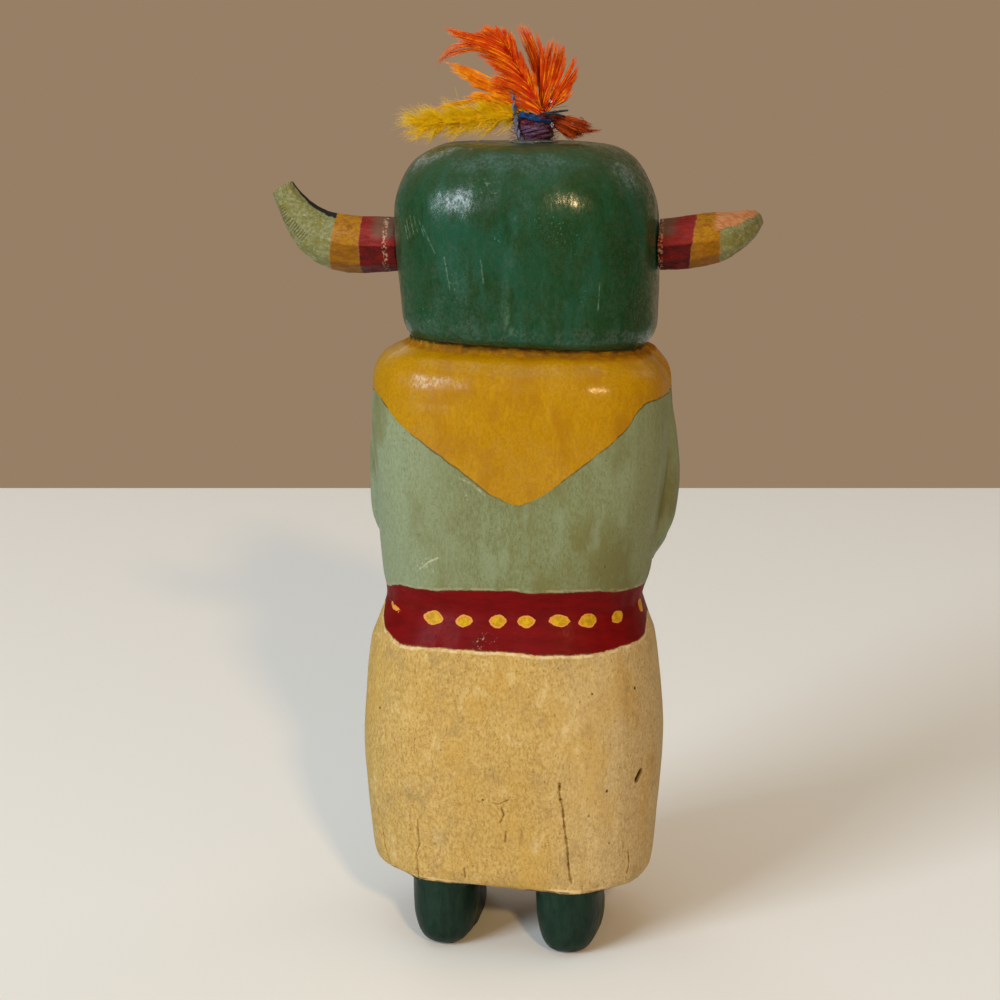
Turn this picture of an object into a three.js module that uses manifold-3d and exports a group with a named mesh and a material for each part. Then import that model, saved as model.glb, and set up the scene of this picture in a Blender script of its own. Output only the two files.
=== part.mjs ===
// A carved and painted cottonwood doll with two horns and a tuft of dyed feathers.
// Millimetres, +Z up. It faces -Y, its own left hand is at +X, and its soles stand on the XY plane.

import * as THREE from 'three';
import { mergeVertices } from 'three/addons/utils/BufferGeometryUtils.js';
import Module from 'manifold-3d';

// Heights up the figure, from the floor.
const hemZ = 17.2;
const beltBottomZ = 74.5;
const waistZ = 83.5;
const beltTopZ = 88;
const neckZ = 145;
const hornZ = 166.4;
const crownZ = 190;

// Half widths, seen from behind. Depths follow from them by the ratios below.
const hemHalfWidth = 33.8;
const kiltHalfWidth = 35.9;
const waistHalfWidth = 30.3;
const chestHalfWidth = 34;
const maskHalfWidth = 30.4;
const crownHalfWidth = 18.5;
const kiltDepthRatio = 0.78;
const chestDepthRatio = 0.78;
const maskDepthRatio = 0.86;

// It was whittled by eye: the chest and the head sit off the middle, and the hem drops to one side.
const hipShift = 0.2;
const chestShift = - 2.2;
const neckShift = - 1.5;
const crownShift = 1.2;
const hemSlant = 0.035;
const neckSlant = 0.04;

// Boots.
const bootSpacing = 30;
const bootHalfWidth = 7.7;
const heelY = 24.5;
const toeY = - 20;
const legHalfDepth = 11;
const footHeight = 9.5;

const figureSides = 40;
const touchingGap = 0.3;

const wasm = await Module();
wasm.setup();

// ---------- shaping helpers ----------

const mix = THREE.MathUtils.lerp;
const ease = THREE.MathUtils.smoothstep;

/** Where the middle of the figure is along X at a height. */
function middleAt( z ) {

	return hipShift + chestShift * ease( z, beltBottomZ, mix( beltTopZ, neckZ, 0.5 ) )
		+ neckShift * ease( z, neckZ - 4, neckZ + 2 ) + crownShift * ease( z, neckZ, crownZ );

}

/** How much a cut that was meant to be level is raised at x: the hem and the neck both slope. */
function slopeAt( x, z ) {

	const hemShare = 1 - ease( z, hemZ, hemZ + 25 );
	const neckShare = ease( z, neckZ - 12, neckZ ) * ( 1 - ease( z, neckZ, neckZ + 25 ) );
	return x * ( hemSlant * hemShare + neckSlant * neckShare );

}

/** Moves every vertex of a geometry to where place( x, y, z ) says. */
function reshape( geometry, place ) {

	const position = geometry.getAttribute( 'position' );
	const moved = new THREE.Vector3();
	for ( let i = 0; i < position.count; i ++ ) {

		moved.fromBufferAttribute( position, i );
		place( moved.x, moved.y, moved.z, moved );
		position.setXYZ( i, moved.x, moved.y, moved.z );

	}

	return geometry;

}

/** What a point on a circle is moved out by, to put it on a rounded square. */
function squared( x, y, power ) {

	const radius = Math.hypot( x, y );
	if ( radius === 0 ) return 1;
	return ( Math.abs( x / radius ) ** power + Math.abs( y / radius ) ** power ) ** ( - 1 / power );

}

/** A closed geometry as a solid that can be joined and cut. */
function solidOf( geometry ) {

	geometry.deleteAttribute( 'normal' );
	geometry.deleteAttribute( 'uv' );
	const merged = mergeVertices( geometry, 1e-4 );
	const solid = new wasm.Manifold( new wasm.Mesh( {
		numProp: 3,
		vertProperties: new Float32Array( merged.getAttribute( 'position' ).array ),
		triVerts: new Uint32Array( merged.index.array )
	} ) );
	return solid;

}

/** A solid back as a three.js geometry. */
function geometryOf( solid ) {

	const mesh = solid.getMesh();
	const geometry = new THREE.BufferGeometry();
	geometry.setAttribute( 'position', new THREE.BufferAttribute( mesh.vertProperties, 3 ) );
	geometry.setIndex( new THREE.BufferAttribute( mesh.triVerts, 1 ) );
	geometry.computeVertexNormals();
	return geometry;

}

/** Turns a side profile round the axis, then squares and flattens each round into a rounded box. */
function log( profile, { sides, squareness, depthRatio, grow = 0 } ) {

	const turned = new THREE.LatheGeometry( profile, sides );
	return reshape( turned, ( x, y, z, out ) => {

		const radius = Math.hypot( x, z );
		const swell = radius > 0 ? ( 1 + grow / radius ) * squared( x, z, squareness( y ) ) : 0;
		out.set( middleAt( y ) + x * swell, - z * swell * depthRatio( y ), y + slopeAt( x * swell, y ) );

	} );

}

/** A bar of elliptical section swept along a curve. Its faces look along side and across it. */
function bar( curve, { side, sides, steps, widthAt, thicknessAt } ) {

	const straight = new THREE.CylinderGeometry( 1, 1, 1, sides, steps );
	const facing = new THREE.Vector3( ...side ).normalize();
	return reshape( straight, ( x, y, z, out ) => {

		const t = THREE.MathUtils.clamp( 0.5 - y, 0, 1 );
		const tangent = curve.getTangentAt( t );
		const normal = facing.clone().addScaledVector( tangent, - facing.dot( tangent ) ).normalize();
		const binormal = new THREE.Vector3().crossVectors( normal, tangent );
		out.copy( curve.getPointAt( t ) )
			.addScaledVector( binormal, x * widthAt( t ) )
			.addScaledVector( normal, z * thicknessAt( t ) );

	} );

}

/** A smooth curve through points given as [ x, y, z ]. */
function through( ...points ) {

	return new THREE.CatmullRomCurve3( points.map( ( p ) => new THREE.Vector3( ...p ) ) );

}

// ---------- the carved figure ----------

/** Kilt, belt groove, chest and shoulders, as one log from the hem to inside the mask. */
function bodyLog() {

	const hemRound = 2.4;
	const beltCut = 0.5;
	const kiltTopHalfWidth = mix( waistHalfWidth, kiltHalfWidth, 0.5 );
	const outline = new THREE.Path();
	outline.moveTo( 0, hemZ );
	outline.lineTo( hemHalfWidth - hemRound, hemZ );
	outline.quadraticCurveTo( hemHalfWidth - 0.3, hemZ, hemHalfWidth, hemZ + hemRound );
	outline.splineThru( [
		new THREE.Vector2( mix( hemHalfWidth, kiltHalfWidth, 0.65 ), mix( hemZ, beltBottomZ, 0.3 ) ),
		new THREE.Vector2( kiltHalfWidth, mix( hemZ, beltBottomZ, 0.55 ) ),
		new THREE.Vector2( kiltHalfWidth - 1, mix( hemZ, beltBottomZ, 0.82 ) ),
		new THREE.Vector2( kiltTopHalfWidth + beltCut, beltBottomZ )
	] );
	outline.lineTo( kiltTopHalfWidth, beltBottomZ + beltCut );
	outline.lineTo( waistHalfWidth, waistZ );
	outline.lineTo( waistHalfWidth + 0.8, beltTopZ - beltCut );
	outline.lineTo( waistHalfWidth + 0.8 + beltCut, beltTopZ );
	outline.splineThru( [
		new THREE.Vector2( waistHalfWidth + 2.5, mix( beltTopZ, neckZ, 0.15 ) ),
		new THREE.Vector2( chestHalfWidth, mix( beltTopZ, neckZ, 0.45 ) ),
		new THREE.Vector2( chestHalfWidth + 0.9, mix( beltTopZ, neckZ, 0.68 ) ),
		new THREE.Vector2( chestHalfWidth - 0.6, mix( beltTopZ, neckZ, 0.86 ) ),
		new THREE.Vector2( maskHalfWidth - 3, neckZ - 0.8 )
	] );
	outline.lineTo( crownHalfWidth, neckZ + 2 );
	outline.lineTo( 0, neckZ + 2 );
	return log( outline.getPoints( 3 ), {
		sides: figureSides,
		squareness: ( z ) => mix( 2.9, 2.5, ease( z, beltBottomZ, beltTopZ ) )
			+ 1.0 * ease( z, beltTopZ, mix( beltTopZ, neckZ, 0.5 ) ),
		depthRatio: ( z ) => mix( kiltDepthRatio, chestDepthRatio, ease( z, beltBottomZ, beltTopZ ) )
			- 0.07 * ease( z, neckZ - 14, neckZ )
	} );

}

/** The mask that covers the whole head: a rounded box with a flat crown. */
function maskLog( grow = 0 ) {

	const chinRound = 3.6;
	const chinHalfWidth = maskHalfWidth - 0.9;
	const outline = new THREE.Path();
	outline.moveTo( 0, neckZ - grow );
	outline.lineTo( chinHalfWidth - chinRound, neckZ - grow );
	outline.quadraticCurveTo( chinHalfWidth - 0.8, neckZ, chinHalfWidth, neckZ + chinRound );
	outline.splineThru( [
		new THREE.Vector2( maskHalfWidth - 0.5, neckZ + 12 ),
		new THREE.Vector2( maskHalfWidth, neckZ + 24 ),
		new THREE.Vector2( maskHalfWidth - 0.6, neckZ + 32.5 ),
		new THREE.Vector2( maskHalfWidth - 4.2, crownZ - 4.8 ),
		new THREE.Vector2( maskHalfWidth - 8.6, crownZ - 1.3 )
	] );
	outline.quadraticCurveTo( crownHalfWidth + 2, crownZ, crownHalfWidth - 3, crownZ );
	outline.lineTo( 0, crownZ + 0.2 + grow );
	return log( outline.getPoints( 2 ), {
		sides: figureSides,
		squareness: ( z ) => mix( 2.85, 2.6, ease( z, crownZ - 12, crownZ ) ),
		depthRatio: () => maskDepthRatio,
		grow
	} );

}

/** A closed half size along a limb: from one value to another, rounded off over a share at each end. */
function limbSize( t, from, to, roundShare ) {

	const inset = Math.max( 0, 1 - Math.min( t, 1 - t ) / roundShare );
	return mix( from, to, t ) * Math.max( 0.3, Math.sqrt( 1 - inset * inset ) );

}

/** An arm in high relief: a flat upper arm down the side, and a forearm round to the fist in front. */
function arm( side ) {

	const along = ( ...points ) => through( ...points.map( ( [ x, y, z ] ) => [ side * x + middleAt( z ), y, z ] ) );
	const upperArm = bar( along( [ 25, 1, 140 ], [ 30, 0.8, 131 ], [ 32.2, 0, 120 ], [ 32.6, - 0.6, 109 ], [ 31, - 1.6, 95.5 ] ), {
		side: [ side, 0, 0 ],
		sides: 12,
		steps: 12,
		widthAt: ( t ) => limbSize( t, 8.6, 6.4, 0.16 ),
		thicknessAt: ( t ) => limbSize( t, 4.4, 4.6, 0.2 )
	} );
	const forearm = bar( along( [ 31, 3, 99.6 ], [ 30.6, - 5, 99.2 ], [ 27, - 14, 99.8 ], [ 18, - 22.6, 102.2 ], [ 8, - 25.8, 105 ] ), {
		side: [ side * 0.8, - 0.6, 0 ],
		sides: 12,
		steps: 14,
		widthAt: ( t ) => limbSize( t, 5.4, 5.8, 0.12 ),
		thicknessAt: ( t ) => limbSize( t, 4, 3.8, 0.12 )
	} );
	return solidOf( upperArm ).add( solidOf( forearm ) );

}

/** A rounded block: a ball squared off to half sizes. */
function roundedBlock( halfX, halfY, halfZ, power ) {

	return reshape( new THREE.SphereGeometry( 1, 24, 16 ), ( x, y, z, out ) => {

		const reach = ( Math.abs( x ) ** power + Math.abs( y ) ** power + Math.abs( z ) ** power ) ** ( - 1 / power );
		out.set( x * halfX * reach, y * halfY * reach, z * halfZ * reach );

	} );

}

/** One boot: a leg that runs up into the kilt, and a foot with a flat sole. */
function boot( side ) {

	const soleRound = 4.5;
	const legMiddleY = heelY - legHalfDepth + ( side < 0 ? 1 : - 0.5 );
	const outline = new THREE.Path();
	outline.moveTo( 0, 0 );
	outline.lineTo( bootHalfWidth - soleRound, 0 );
	outline.bezierCurveTo( bootHalfWidth - 1.5, 0, bootHalfWidth - 0.4, soleRound, bootHalfWidth, 2 * soleRound );
	outline.lineTo( bootHalfWidth + 0.2, hemZ );
	outline.lineTo( bootHalfWidth, hemZ + 4 );
	outline.lineTo( 0, hemZ + 4 );
	const leg = new THREE.LatheGeometry( outline.getPoints( 4 ), 24 );
	reshape( leg, ( x, y, z, out ) => {

		const corner = squared( x, z, 2.5 );
		const depth = z * corner * legHalfDepth / bootHalfWidth;
		out.set( side * bootSpacing / 2 + x * corner, legMiddleY - depth, y );

	} );
	const footHalfLength = ( legMiddleY - toeY ) / 2 + 3;
	const footSink = 2.5;
	const foot = roundedBlock( bootHalfWidth - 0.7, footHalfLength, footHeight - footSink, 2.5 );
	foot.translate( side * bootSpacing / 2, toeY + footHalfLength, footSink );
	return solidOf( leg ).add( solidOf( foot ) );

}

function carvedFigure() {

	let figure = solidOf( bodyLog() ).add( solidOf( maskLog() ) );
	for ( const side of [ - 1, 1 ] ) {

		figure = figure.add( arm( side ) ).add( boot( side ) );

	}

	const floor = new THREE.BoxGeometry( 200, 200, 20 );
	floor.translate( 0, 0, - 10 );
	return geometryOf( figure.subtract( solidOf( floor ) ) );

}

// ---------- horns ----------

/** A curved horn with whittled flats and a sawn-off tip, seated against the side of the mask. */
function horn( side, run, facing ) {

	const baseHalf = 6.1;
	const tipHalf = 2.6;
	const rootX = middleAt( hornZ ) + side * ( maskHalfWidth - 4 );
	const path = through( ...run.map( ( [ out, forward, up ] ) => [ rootX + side * out, - forward, hornZ + up ] ) );
	const whittled = bar( path, {
		side: facing,
		sides: 9,
		steps: 12,
		widthAt: ( t ) => mix( baseHalf, tipHalf, ease( t, 0.45, 1.1 ) ) * ( 1 + 0.14 * Math.sin( Math.PI * t ) ),
		thicknessAt: ( t ) => mix( baseHalf - 0.6, tipHalf, ease( t, 0.3, 1.1 ) )
	} );
	return geometryOf( solidOf( whittled ).subtract( solidOf( maskLog( touchingGap ) ) ) );

}

// Steps outwards, forwards and up from where each horn enters the mask.
const hornThatTurnsUp = [
	[ 0, 0, 0 ], [ 8, 0, - 0.2 ], [ 16.5, 0, - 0.1 ], [ 22.9, 0, 2 ], [ 28.4, 0, 7 ], [ 32, 0, 13 ]
];
const hornThatTurnsForward = [
	[ 0, 0, 0.4 ], [ 8, 0, 0.8 ], [ 13.5, 0.6, 1.6 ], [ 18.5, 3, 2.8 ], [ 22.5, 7.4, 4.2 ], [ 25, 13, 5.4 ]
];

// ---------- feather tuft ----------

const tuftX = middleAt( crownZ ) - 2.2;
const tuftY = 1;
const wrapBottomZ = crownZ + 0.2 + touchingGap;
const wrapHeight = 6.2;
const wrapHoleRadius = 2.5;
const wrapRadius = 4.6;
const quillRadius = 0.45;

/** Yarn wound round the quills, standing on the crown. */
function yarnWrap() {

	const bulge = new THREE.Path();
	bulge.moveTo( wrapHoleRadius, 0 );
	bulge.lineTo( wrapRadius - 0.8, 0 );
	bulge.quadraticCurveTo( wrapRadius + 0.6, wrapHeight / 2, wrapRadius - 1, wrapHeight );
	bulge.lineTo( wrapHoleRadius, wrapHeight );
	bulge.lineTo( wrapHoleRadius, 0 );
	const turned = new THREE.LatheGeometry( bulge.getPoints( 5 ), 20 );
	turned.rotateX( Math.PI / 2 );
	turned.translate( tuftX, tuftY, wrapBottomZ );
	return turned;

}

/** A feather: a bare quill up through the wrap, then a vane that swells and runs out to its tip. */
function feather( points, { facing, halfWidth, halfThickness, fullAt } ) {

	const path = through( ...points );
	const quillShare = ( wrapHeight + 1.4 ) / path.getLength();
	return bar( path, {
		side: facing,
		sides: 6,
		steps: 14,
		widthAt: ( t ) => vaneShape( t, quillShare, fullAt, halfWidth ),
		thicknessAt: ( t ) => vaneShape( t, quillShare, fullAt, halfThickness )
	} );

}

/** Half size of a feather at a share of its length: the quill, a swell up to fullAt, and a blunt tip. */
function vaneShape( t, quillShare, fullAt, full ) {

	const swell = ease( t, quillShare, fullAt );
	const tip = Math.sqrt( Math.max( 0.03, 1 - Math.max( 0, ( t - fullAt ) / ( 1 - fullAt ) ) ** 2 ) );
	return Math.max( 0.25, mix( quillRadius, full, swell ) * tip );

}

/** Three points up through the wrap for one of count quills, which stand in a ring. */
function quillRoot( index, count ) {

	const roomInside = 0.55;
	const ringRadius = wrapHoleRadius - quillRadius - roomInside;
	const turn = 2 * Math.PI * index / count;
	const x = tuftX + ringRadius * Math.cos( turn );
	const y = tuftY + ringRadius * Math.sin( turn );
	return [ [ x, y, wrapBottomZ + 0.4 ], [ x, y, wrapBottomZ + 0.6 * wrapHeight ], [ x, y, wrapBottomZ + wrapHeight + 1 ] ];

}

// Each feather after its root: points from the wrap to the tip, as offsets from the middle of the tuft.
const feathers = {
	rust_feather: {
		root: 3,
		run: [ [ - 5, 0.4, 7 ], [ - 9, 0.8, 4 ], [ - 14.2, 1, 1.6 ] ],
		shape: { facing: [ 0, 1, 0.4 ], halfWidth: 2.6, halfThickness: 1.6, fullAt: 0.75 }
	},
	orange_fan_feather: {
		root: 2,
		run: [ [ - 2.6, 0.9, 11 ], [ - 4.2, 1.2, 16 ], [ - 4.8, 1, 22 ] ],
		shape: { facing: [ 0.1, 1, 0 ], halfWidth: 5.6, halfThickness: 0.8, fullAt: 0.72 }
	},
	orange_plume_feather: {
		root: 4,
		run: [ [ - 0.7, - 2.5, 11 ], [ 0.2, - 3.2, 17 ], [ 3.6, - 3.6, 25.5 ] ],
		shape: { facing: [ 0, 1, 0 ], halfWidth: 3.2, halfThickness: 0.7, fullAt: 0.6 }
	},
	orange_sweeping_feather: {
		root: 1,
		run: [ [ 1.2, 3.1, 11 ], [ 4.4, 3.9, 18.5 ], [ 10.5, 4, 22.3 ], [ 20, 3.6, 25 ] ],
		shape: { facing: [ 0, 1, 0.1 ], halfWidth: 3.4, halfThickness: 0.8, fullAt: 0.62 }
	},
	orange_low_feather: {
		root: 5,
		run: [ [ 4.6, - 1.8, 10.4 ], [ 11, - 1.4, 14 ], [ 21, - 1, 18 ] ],
		shape: { facing: [ 0, 1, 0 ], halfWidth: 3, halfThickness: 0.7, fullAt: 0.55 }
	},
	yellow_down_feather: {
		root: 0,
		run: [ [ 5.5, 0.8, 7 ], [ 12, 1.6, 4.6 ], [ 22, 1.8, 3.8 ], [ 31, 1.2, 3.2 ] ],
		shape: { facing: [ 0, 1, 0 ], halfWidth: 3.6, halfThickness: 2.4, fullAt: 0.7 }
	}
};

function tuftFeather( { root, run, shape } ) {

	const roots = quillRoot( root, 6 );
	const outside = run.map( ( [ x, y, z ] ) => [ tuftX + x, tuftY + y, wrapBottomZ + z ] );
	return feather( [ ...roots, ...outside ], shape );

}

// ---------- finishes and assembly ----------

const finishes = {
	paintedWood: new THREE.MeshStandardMaterial( { color: 0x9fb184, roughness: 0.5 } ),
	hornPaint: new THREE.MeshStandardMaterial( { color: 0xa9a377, roughness: 0.6 } ),
	purpleYarn: new THREE.MeshStandardMaterial( { color: 0x57456b, roughness: 0.95 } ),
	orangeFeather: new THREE.MeshStandardMaterial( { color: 0xe2571b, roughness: 0.8 } ),
	yellowFeather: new THREE.MeshStandardMaterial( { color: 0xe0a512, roughness: 0.9 } ),
	rustFeather: new THREE.MeshStandardMaterial( { color: 0x9a3c16, roughness: 0.85 } )
};

const featherFinish = {
	rust_feather: finishes.rustFeather,
	yellow_down_feather: finishes.yellowFeather
};

const doll = new THREE.Group();

function add( name, geometry, material ) {

	const mesh = new THREE.Mesh( geometry, material );
	mesh.name = name;
	doll.add( mesh );

}

add( 'carved_figure', carvedFigure(), finishes.paintedWood );
add( 'left_horn', horn( 1, hornThatTurnsUp, [ 0, 1, 0 ] ), finishes.hornPaint );
add( 'right_horn', horn( - 1, hornThatTurnsForward, [ 0, 0.65, 0.76 ] ), finishes.hornPaint );
add( 'yarn_wrap', yarnWrap(), finishes.purpleYarn );
for ( const [ name, plan ] of Object.entries( feathers ) ) {

	add( name, tuftFeather( plan ), featherFinish[ name ] ?? finishes.orangeFeather );

}

export default doll;
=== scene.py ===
# %% [markdown]
# # A carved cottonwood doll with horns and a feather tuft
#
# The doll is whittled from one piece of cottonwood root and painted by hand.
# Two small horns are set into the head, and a tuft of dyed feathers is bound
# with yarn on top. The solid model is loaded first and isn't moved: it is the
# frame that the finer pieces are built on.

# %% Load the frame
import math
import random

import bpy
import numpy as np
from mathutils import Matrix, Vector
from mathutils.bvhtree import BVHTree


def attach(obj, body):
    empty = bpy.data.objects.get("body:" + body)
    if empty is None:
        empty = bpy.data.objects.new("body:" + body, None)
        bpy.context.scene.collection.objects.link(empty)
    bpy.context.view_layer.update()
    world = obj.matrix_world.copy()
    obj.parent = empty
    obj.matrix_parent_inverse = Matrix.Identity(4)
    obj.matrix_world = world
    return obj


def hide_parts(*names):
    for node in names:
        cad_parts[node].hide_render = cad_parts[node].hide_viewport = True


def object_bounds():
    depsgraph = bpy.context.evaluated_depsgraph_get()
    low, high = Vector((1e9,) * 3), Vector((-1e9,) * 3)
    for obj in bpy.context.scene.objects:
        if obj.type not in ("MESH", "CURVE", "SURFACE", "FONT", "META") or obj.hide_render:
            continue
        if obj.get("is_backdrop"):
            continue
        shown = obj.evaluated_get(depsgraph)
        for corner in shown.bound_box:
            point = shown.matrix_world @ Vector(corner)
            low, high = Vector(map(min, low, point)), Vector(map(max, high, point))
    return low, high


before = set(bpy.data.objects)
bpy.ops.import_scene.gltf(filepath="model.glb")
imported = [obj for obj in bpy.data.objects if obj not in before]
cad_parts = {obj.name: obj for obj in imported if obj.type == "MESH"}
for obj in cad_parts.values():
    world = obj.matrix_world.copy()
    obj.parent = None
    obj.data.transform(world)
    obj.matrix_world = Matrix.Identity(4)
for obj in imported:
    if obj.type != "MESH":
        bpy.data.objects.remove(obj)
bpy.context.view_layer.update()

MM = 0.001  # Blender works in metres, and a carver thinks in millimetres

# %% [markdown]
# ## Camera
#
# The doll is looked at from behind, a little to one side and from above. A
# long lens keeps the perspective mild, as when a small thing is looked at
# from half a metre away.

# %% Camera
CAMERA_TURN = 188  # degrees, where 0 stands in front of the doll
CAMERA_DROP = 11.45  # degrees, how far it looks down
bpy.ops.object.camera_add(
    location=(-66.3 * MM, 498.6 * MM, 207.6 * MM),
    rotation=(math.radians(90 - CAMERA_DROP), 0, math.radians(CAMERA_TURN)),
)
camera = bpy.context.object
camera.data.lens = 77.4
camera.data.clip_start = 0.01
bpy.context.scene.camera = camera
bpy.context.scene.view_settings.view_transform = "Standard"
print("camera stands", round(camera.location.length, 3), "m away")

# %% [markdown]
# ## Light, floor and backdrop
#
# Paint shows its gloss only when there is something bright to reflect: a
# small warm lamp gives the sharp glints, and a wide cool window the broad
# sheen. Softer panels above and in front keep every side readable. The floor
# is a plain pale table top, and the world one plain warm grey.

# %% Lights
TARGET = Vector((0, 0, 100 * MM))


def panel(name, turn, rise, distance, size, watts, colour):
    """An area light on a sphere round the doll, facing it."""
    turned, risen = math.radians(turn), math.radians(rise)
    away = Vector((
        math.sin(turned) * math.cos(risen),
        -math.cos(turned) * math.cos(risen),
        math.sin(risen),
    ))
    bpy.ops.object.light_add(type="AREA", location=TARGET + away * distance)
    lamp = bpy.context.object
    lamp.name = name
    lamp.rotation_euler = away.to_track_quat("Z", "Y").to_euler()
    lamp.data.size = size
    lamp.data.energy = watts
    lamp.data.color = colour


# name, degrees round and up, metres away and across, watts, colour
panel("lamp", 201, 27, 2.4, 0.15, 24.3, (1.0, 0.665, 0.33))
panel("window", 143, 24, 3.0, 1.25, 86, (0.79, 0.905, 1.0))
panel("overhead", 150, 78, 1.9, 1.5, 9.8, (0.45, 0.83, 1.0))
panel("front_left", 35, 34, 2.2, 1.0, 3.7, (0.95, 0.97, 1.0))
panel("front_right", 305, 38, 2.2, 1.0, 3.2, (1.0, 0.97, 0.93))

# %% Floor and world
TABLE_HALF = 0.552
bpy.ops.object.select_all(action="DESELECT")
bpy.ops.mesh.primitive_plane_add(
    size=2 * TABLE_HALF, rotation=(0, 0, math.radians(CAMERA_TURN)))
floor = bpy.context.object
floor.name = "floor"
table_paint = bpy.data.materials.new("table_paint")
table_paint.use_nodes = True
table_shader = table_paint.node_tree.nodes["Principled BSDF"]
table_shader.inputs["Base Color"].default_value = (0.8, 0.79, 0.765, 1)
table_shader.inputs["Roughness"].default_value = 0.55
floor.data.materials.append(table_paint)
floor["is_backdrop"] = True

world = bpy.data.worlds.new("warm_grey")
world.use_nodes = True
backdrop = world.node_tree.nodes["Background"]
backdrop.inputs["Color"].default_value = (0.309, 0.212, 0.133, 1)
backdrop.inputs["Strength"].default_value = 1.0
bpy.context.scene.world = world
print("table top reaches", TABLE_HALF, "m from the doll")

# %% [markdown]
# ## Working on a copy
#
# The solid's flat faces are too coarse for paint and chisel marks. Each
# carved piece therefore starts as a copy of its solid, merged into one skin,
# remeshed into small even squares, and smoothed until the flats are gone.

# %% Copy a solid and give it a fine even skin
def select_only(piece):
    bpy.ops.object.select_all(action="DESELECT")
    piece.select_set(True)
    bpy.context.view_layer.objects.active = piece


def triangles_of(piece):
    return sum(len(f.vertices) - 2 for f in piece.data.polygons)


def apply_all(piece):
    select_only(piece)
    for modifier in list(piece.modifiers):
        bpy.ops.object.modifier_apply(modifier=modifier.name)


def copy_of(node, name):
    """A loose copy of a solid, with its own mesh, merged into one skin."""
    select_only(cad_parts[node])
    bpy.ops.object.duplicate()
    piece = bpy.context.object
    for key in list(piece.keys()):
        del piece[key]
    piece.parent = None
    piece.name = piece.data.name = name
    piece.data.materials.clear()
    bpy.ops.object.mode_set(mode="EDIT")
    bpy.ops.mesh.select_all(action="SELECT")
    bpy.ops.mesh.remove_doubles(threshold=0.001 * MM)
    bpy.ops.object.mode_set(mode="OBJECT")
    return piece


def fine_skin(piece, voxel, rounds):
    """Remeshes a piece into even squares of voxel mm, then smooths it."""
    remesh = piece.modifiers.new("fine_skin", "REMESH")
    remesh.mode = "VOXEL"
    remesh.voxel_size = voxel * MM
    remesh.use_smooth_shade = True
    smooth = piece.modifiers.new("worn_smooth", "SMOOTH")
    smooth.factor = 0.5
    smooth.iterations = rounds
    apply_all(piece)
    print(piece.name, "faces:", len(piece.data.polygons))


figure = copy_of("carved_figure", "painted_figure")
fine_skin(figure, 0.95, 11)

# %% [markdown]
# ## Marks of the knife
#
# A whittled surface is never quite round: broad shallow cuts run down the
# grain. Two soft noise textures move the skin in and out by a fraction of a
# millimetre. An empty, stretched along the grain, stretches the noise too.

# %% Hand-carved unevenness
def uneven(piece, name, size, depth, stretch):
    """Moves the skin by up to half of depth mm, in patches of size mm."""
    clouds = bpy.data.textures.new(name, "CLOUDS")
    clouds.noise_scale = size * MM
    clouds.noise_depth = 1
    bpy.ops.object.empty_add()
    ruler = bpy.context.object
    ruler.scale = stretch
    bpy.context.view_layer.update()
    displace = piece.modifiers.new(name, "DISPLACE")
    displace.texture = clouds
    displace.texture_coords = "OBJECT"
    displace.texture_coords_object = ruler
    displace.strength = depth * MM
    apply_all(piece)
    bpy.data.objects.remove(ruler)


uneven(figure, "broad_cuts", 13, 0.75, (1, 1, 2.2))
uneven(figure, "small_cuts", 4.5, 0.22, (1, 1, 2.5))
print("figure is", [round(v / MM, 1) for v in figure.dimensions], "mm")

# %% [markdown]
# ## Creases
#
# Smoothing has also softened the creases that a knife leaves sharp. A point
# in a crease lies below the average of the skin around it. The crease is
# pressed in by that height, which later also says where shade is painted in.

# %% Measure and sharpen the creases
def numbers_of(collection, word, width, kind=np.float64):
    flat = np.empty(len(collection) * width, kind)
    collection.foreach_get(word, flat)
    return flat.reshape(-1, width)


def points_of(piece):
    """The piece's points as an array of millimetres."""
    return numbers_of(piece.data.vertices, "co", 3) / MM


def hollows_of(piece, rounds):
    """How far, in mm, each point lies below the average skin around it."""
    points = points_of(piece)
    first, second = numbers_of(piece.data.edges, "vertices", 2, np.int32).T
    count = len(points)
    links = np.bincount(first, minlength=count) + np.bincount(second, minlength=count)
    average = points.copy()
    for _ in range(rounds):
        total = [
            np.bincount(first, average[second, k], count)
            + np.bincount(second, average[first, k], count)
            for k in range(3)
        ]
        average = np.array(total).T / links[:, None]
    return ((average - points) * numbers_of(piece.data.vertices, "normal", 3)).sum(1)


def press(piece, name, depths):
    """Pushes each point in along its normal by its depth in mm."""
    deepest = float(np.abs(depths).max())
    group = piece.vertex_groups.new(name=name)
    for index in np.flatnonzero(np.abs(depths) > 0.004):
        share = float(abs(depths[index]) / deepest)
        group.add([int(index)], share, "REPLACE")
    displace = piece.modifiers.new(name, "DISPLACE")
    displace.mid_level = 0
    displace.strength = -deepest * MM * (1 if depths.max() > 0 else -1)
    displace.vertex_group = name
    apply_all(piece)
    piece.vertex_groups.remove(piece.vertex_groups[name])


creases = hollows_of(figure, 8)
press(figure, "creases", np.clip(1.3 * creases - 0.06, 0, 0.3))
print("deepest crease, mm:", round(float(creases.max()), 2))

# %% [markdown]
# ## Finding places on the skin
#
# Every crack, chip and paint edge is placed by its height and by its angle
# round the doll from the middle of the back, which a carver could measure. A
# ray sent in towards the axis finds the spot on the skin.

# %% Heights and angles
HEM, BELT_FOOT, BELT_TOP, NECK, CROWN = 17.2, 74.5, 88, 145, 190
OUTSIDE = 0.08  # metres from the axis, well outside the figure
MM_PER_DEGREE = 0.55  # on the skin, seen from the axis


def ease(value, start, end):
    share = np.clip((value - start) / (end - start), 0, 1)
    return share * share * (3 - 2 * share)


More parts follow.
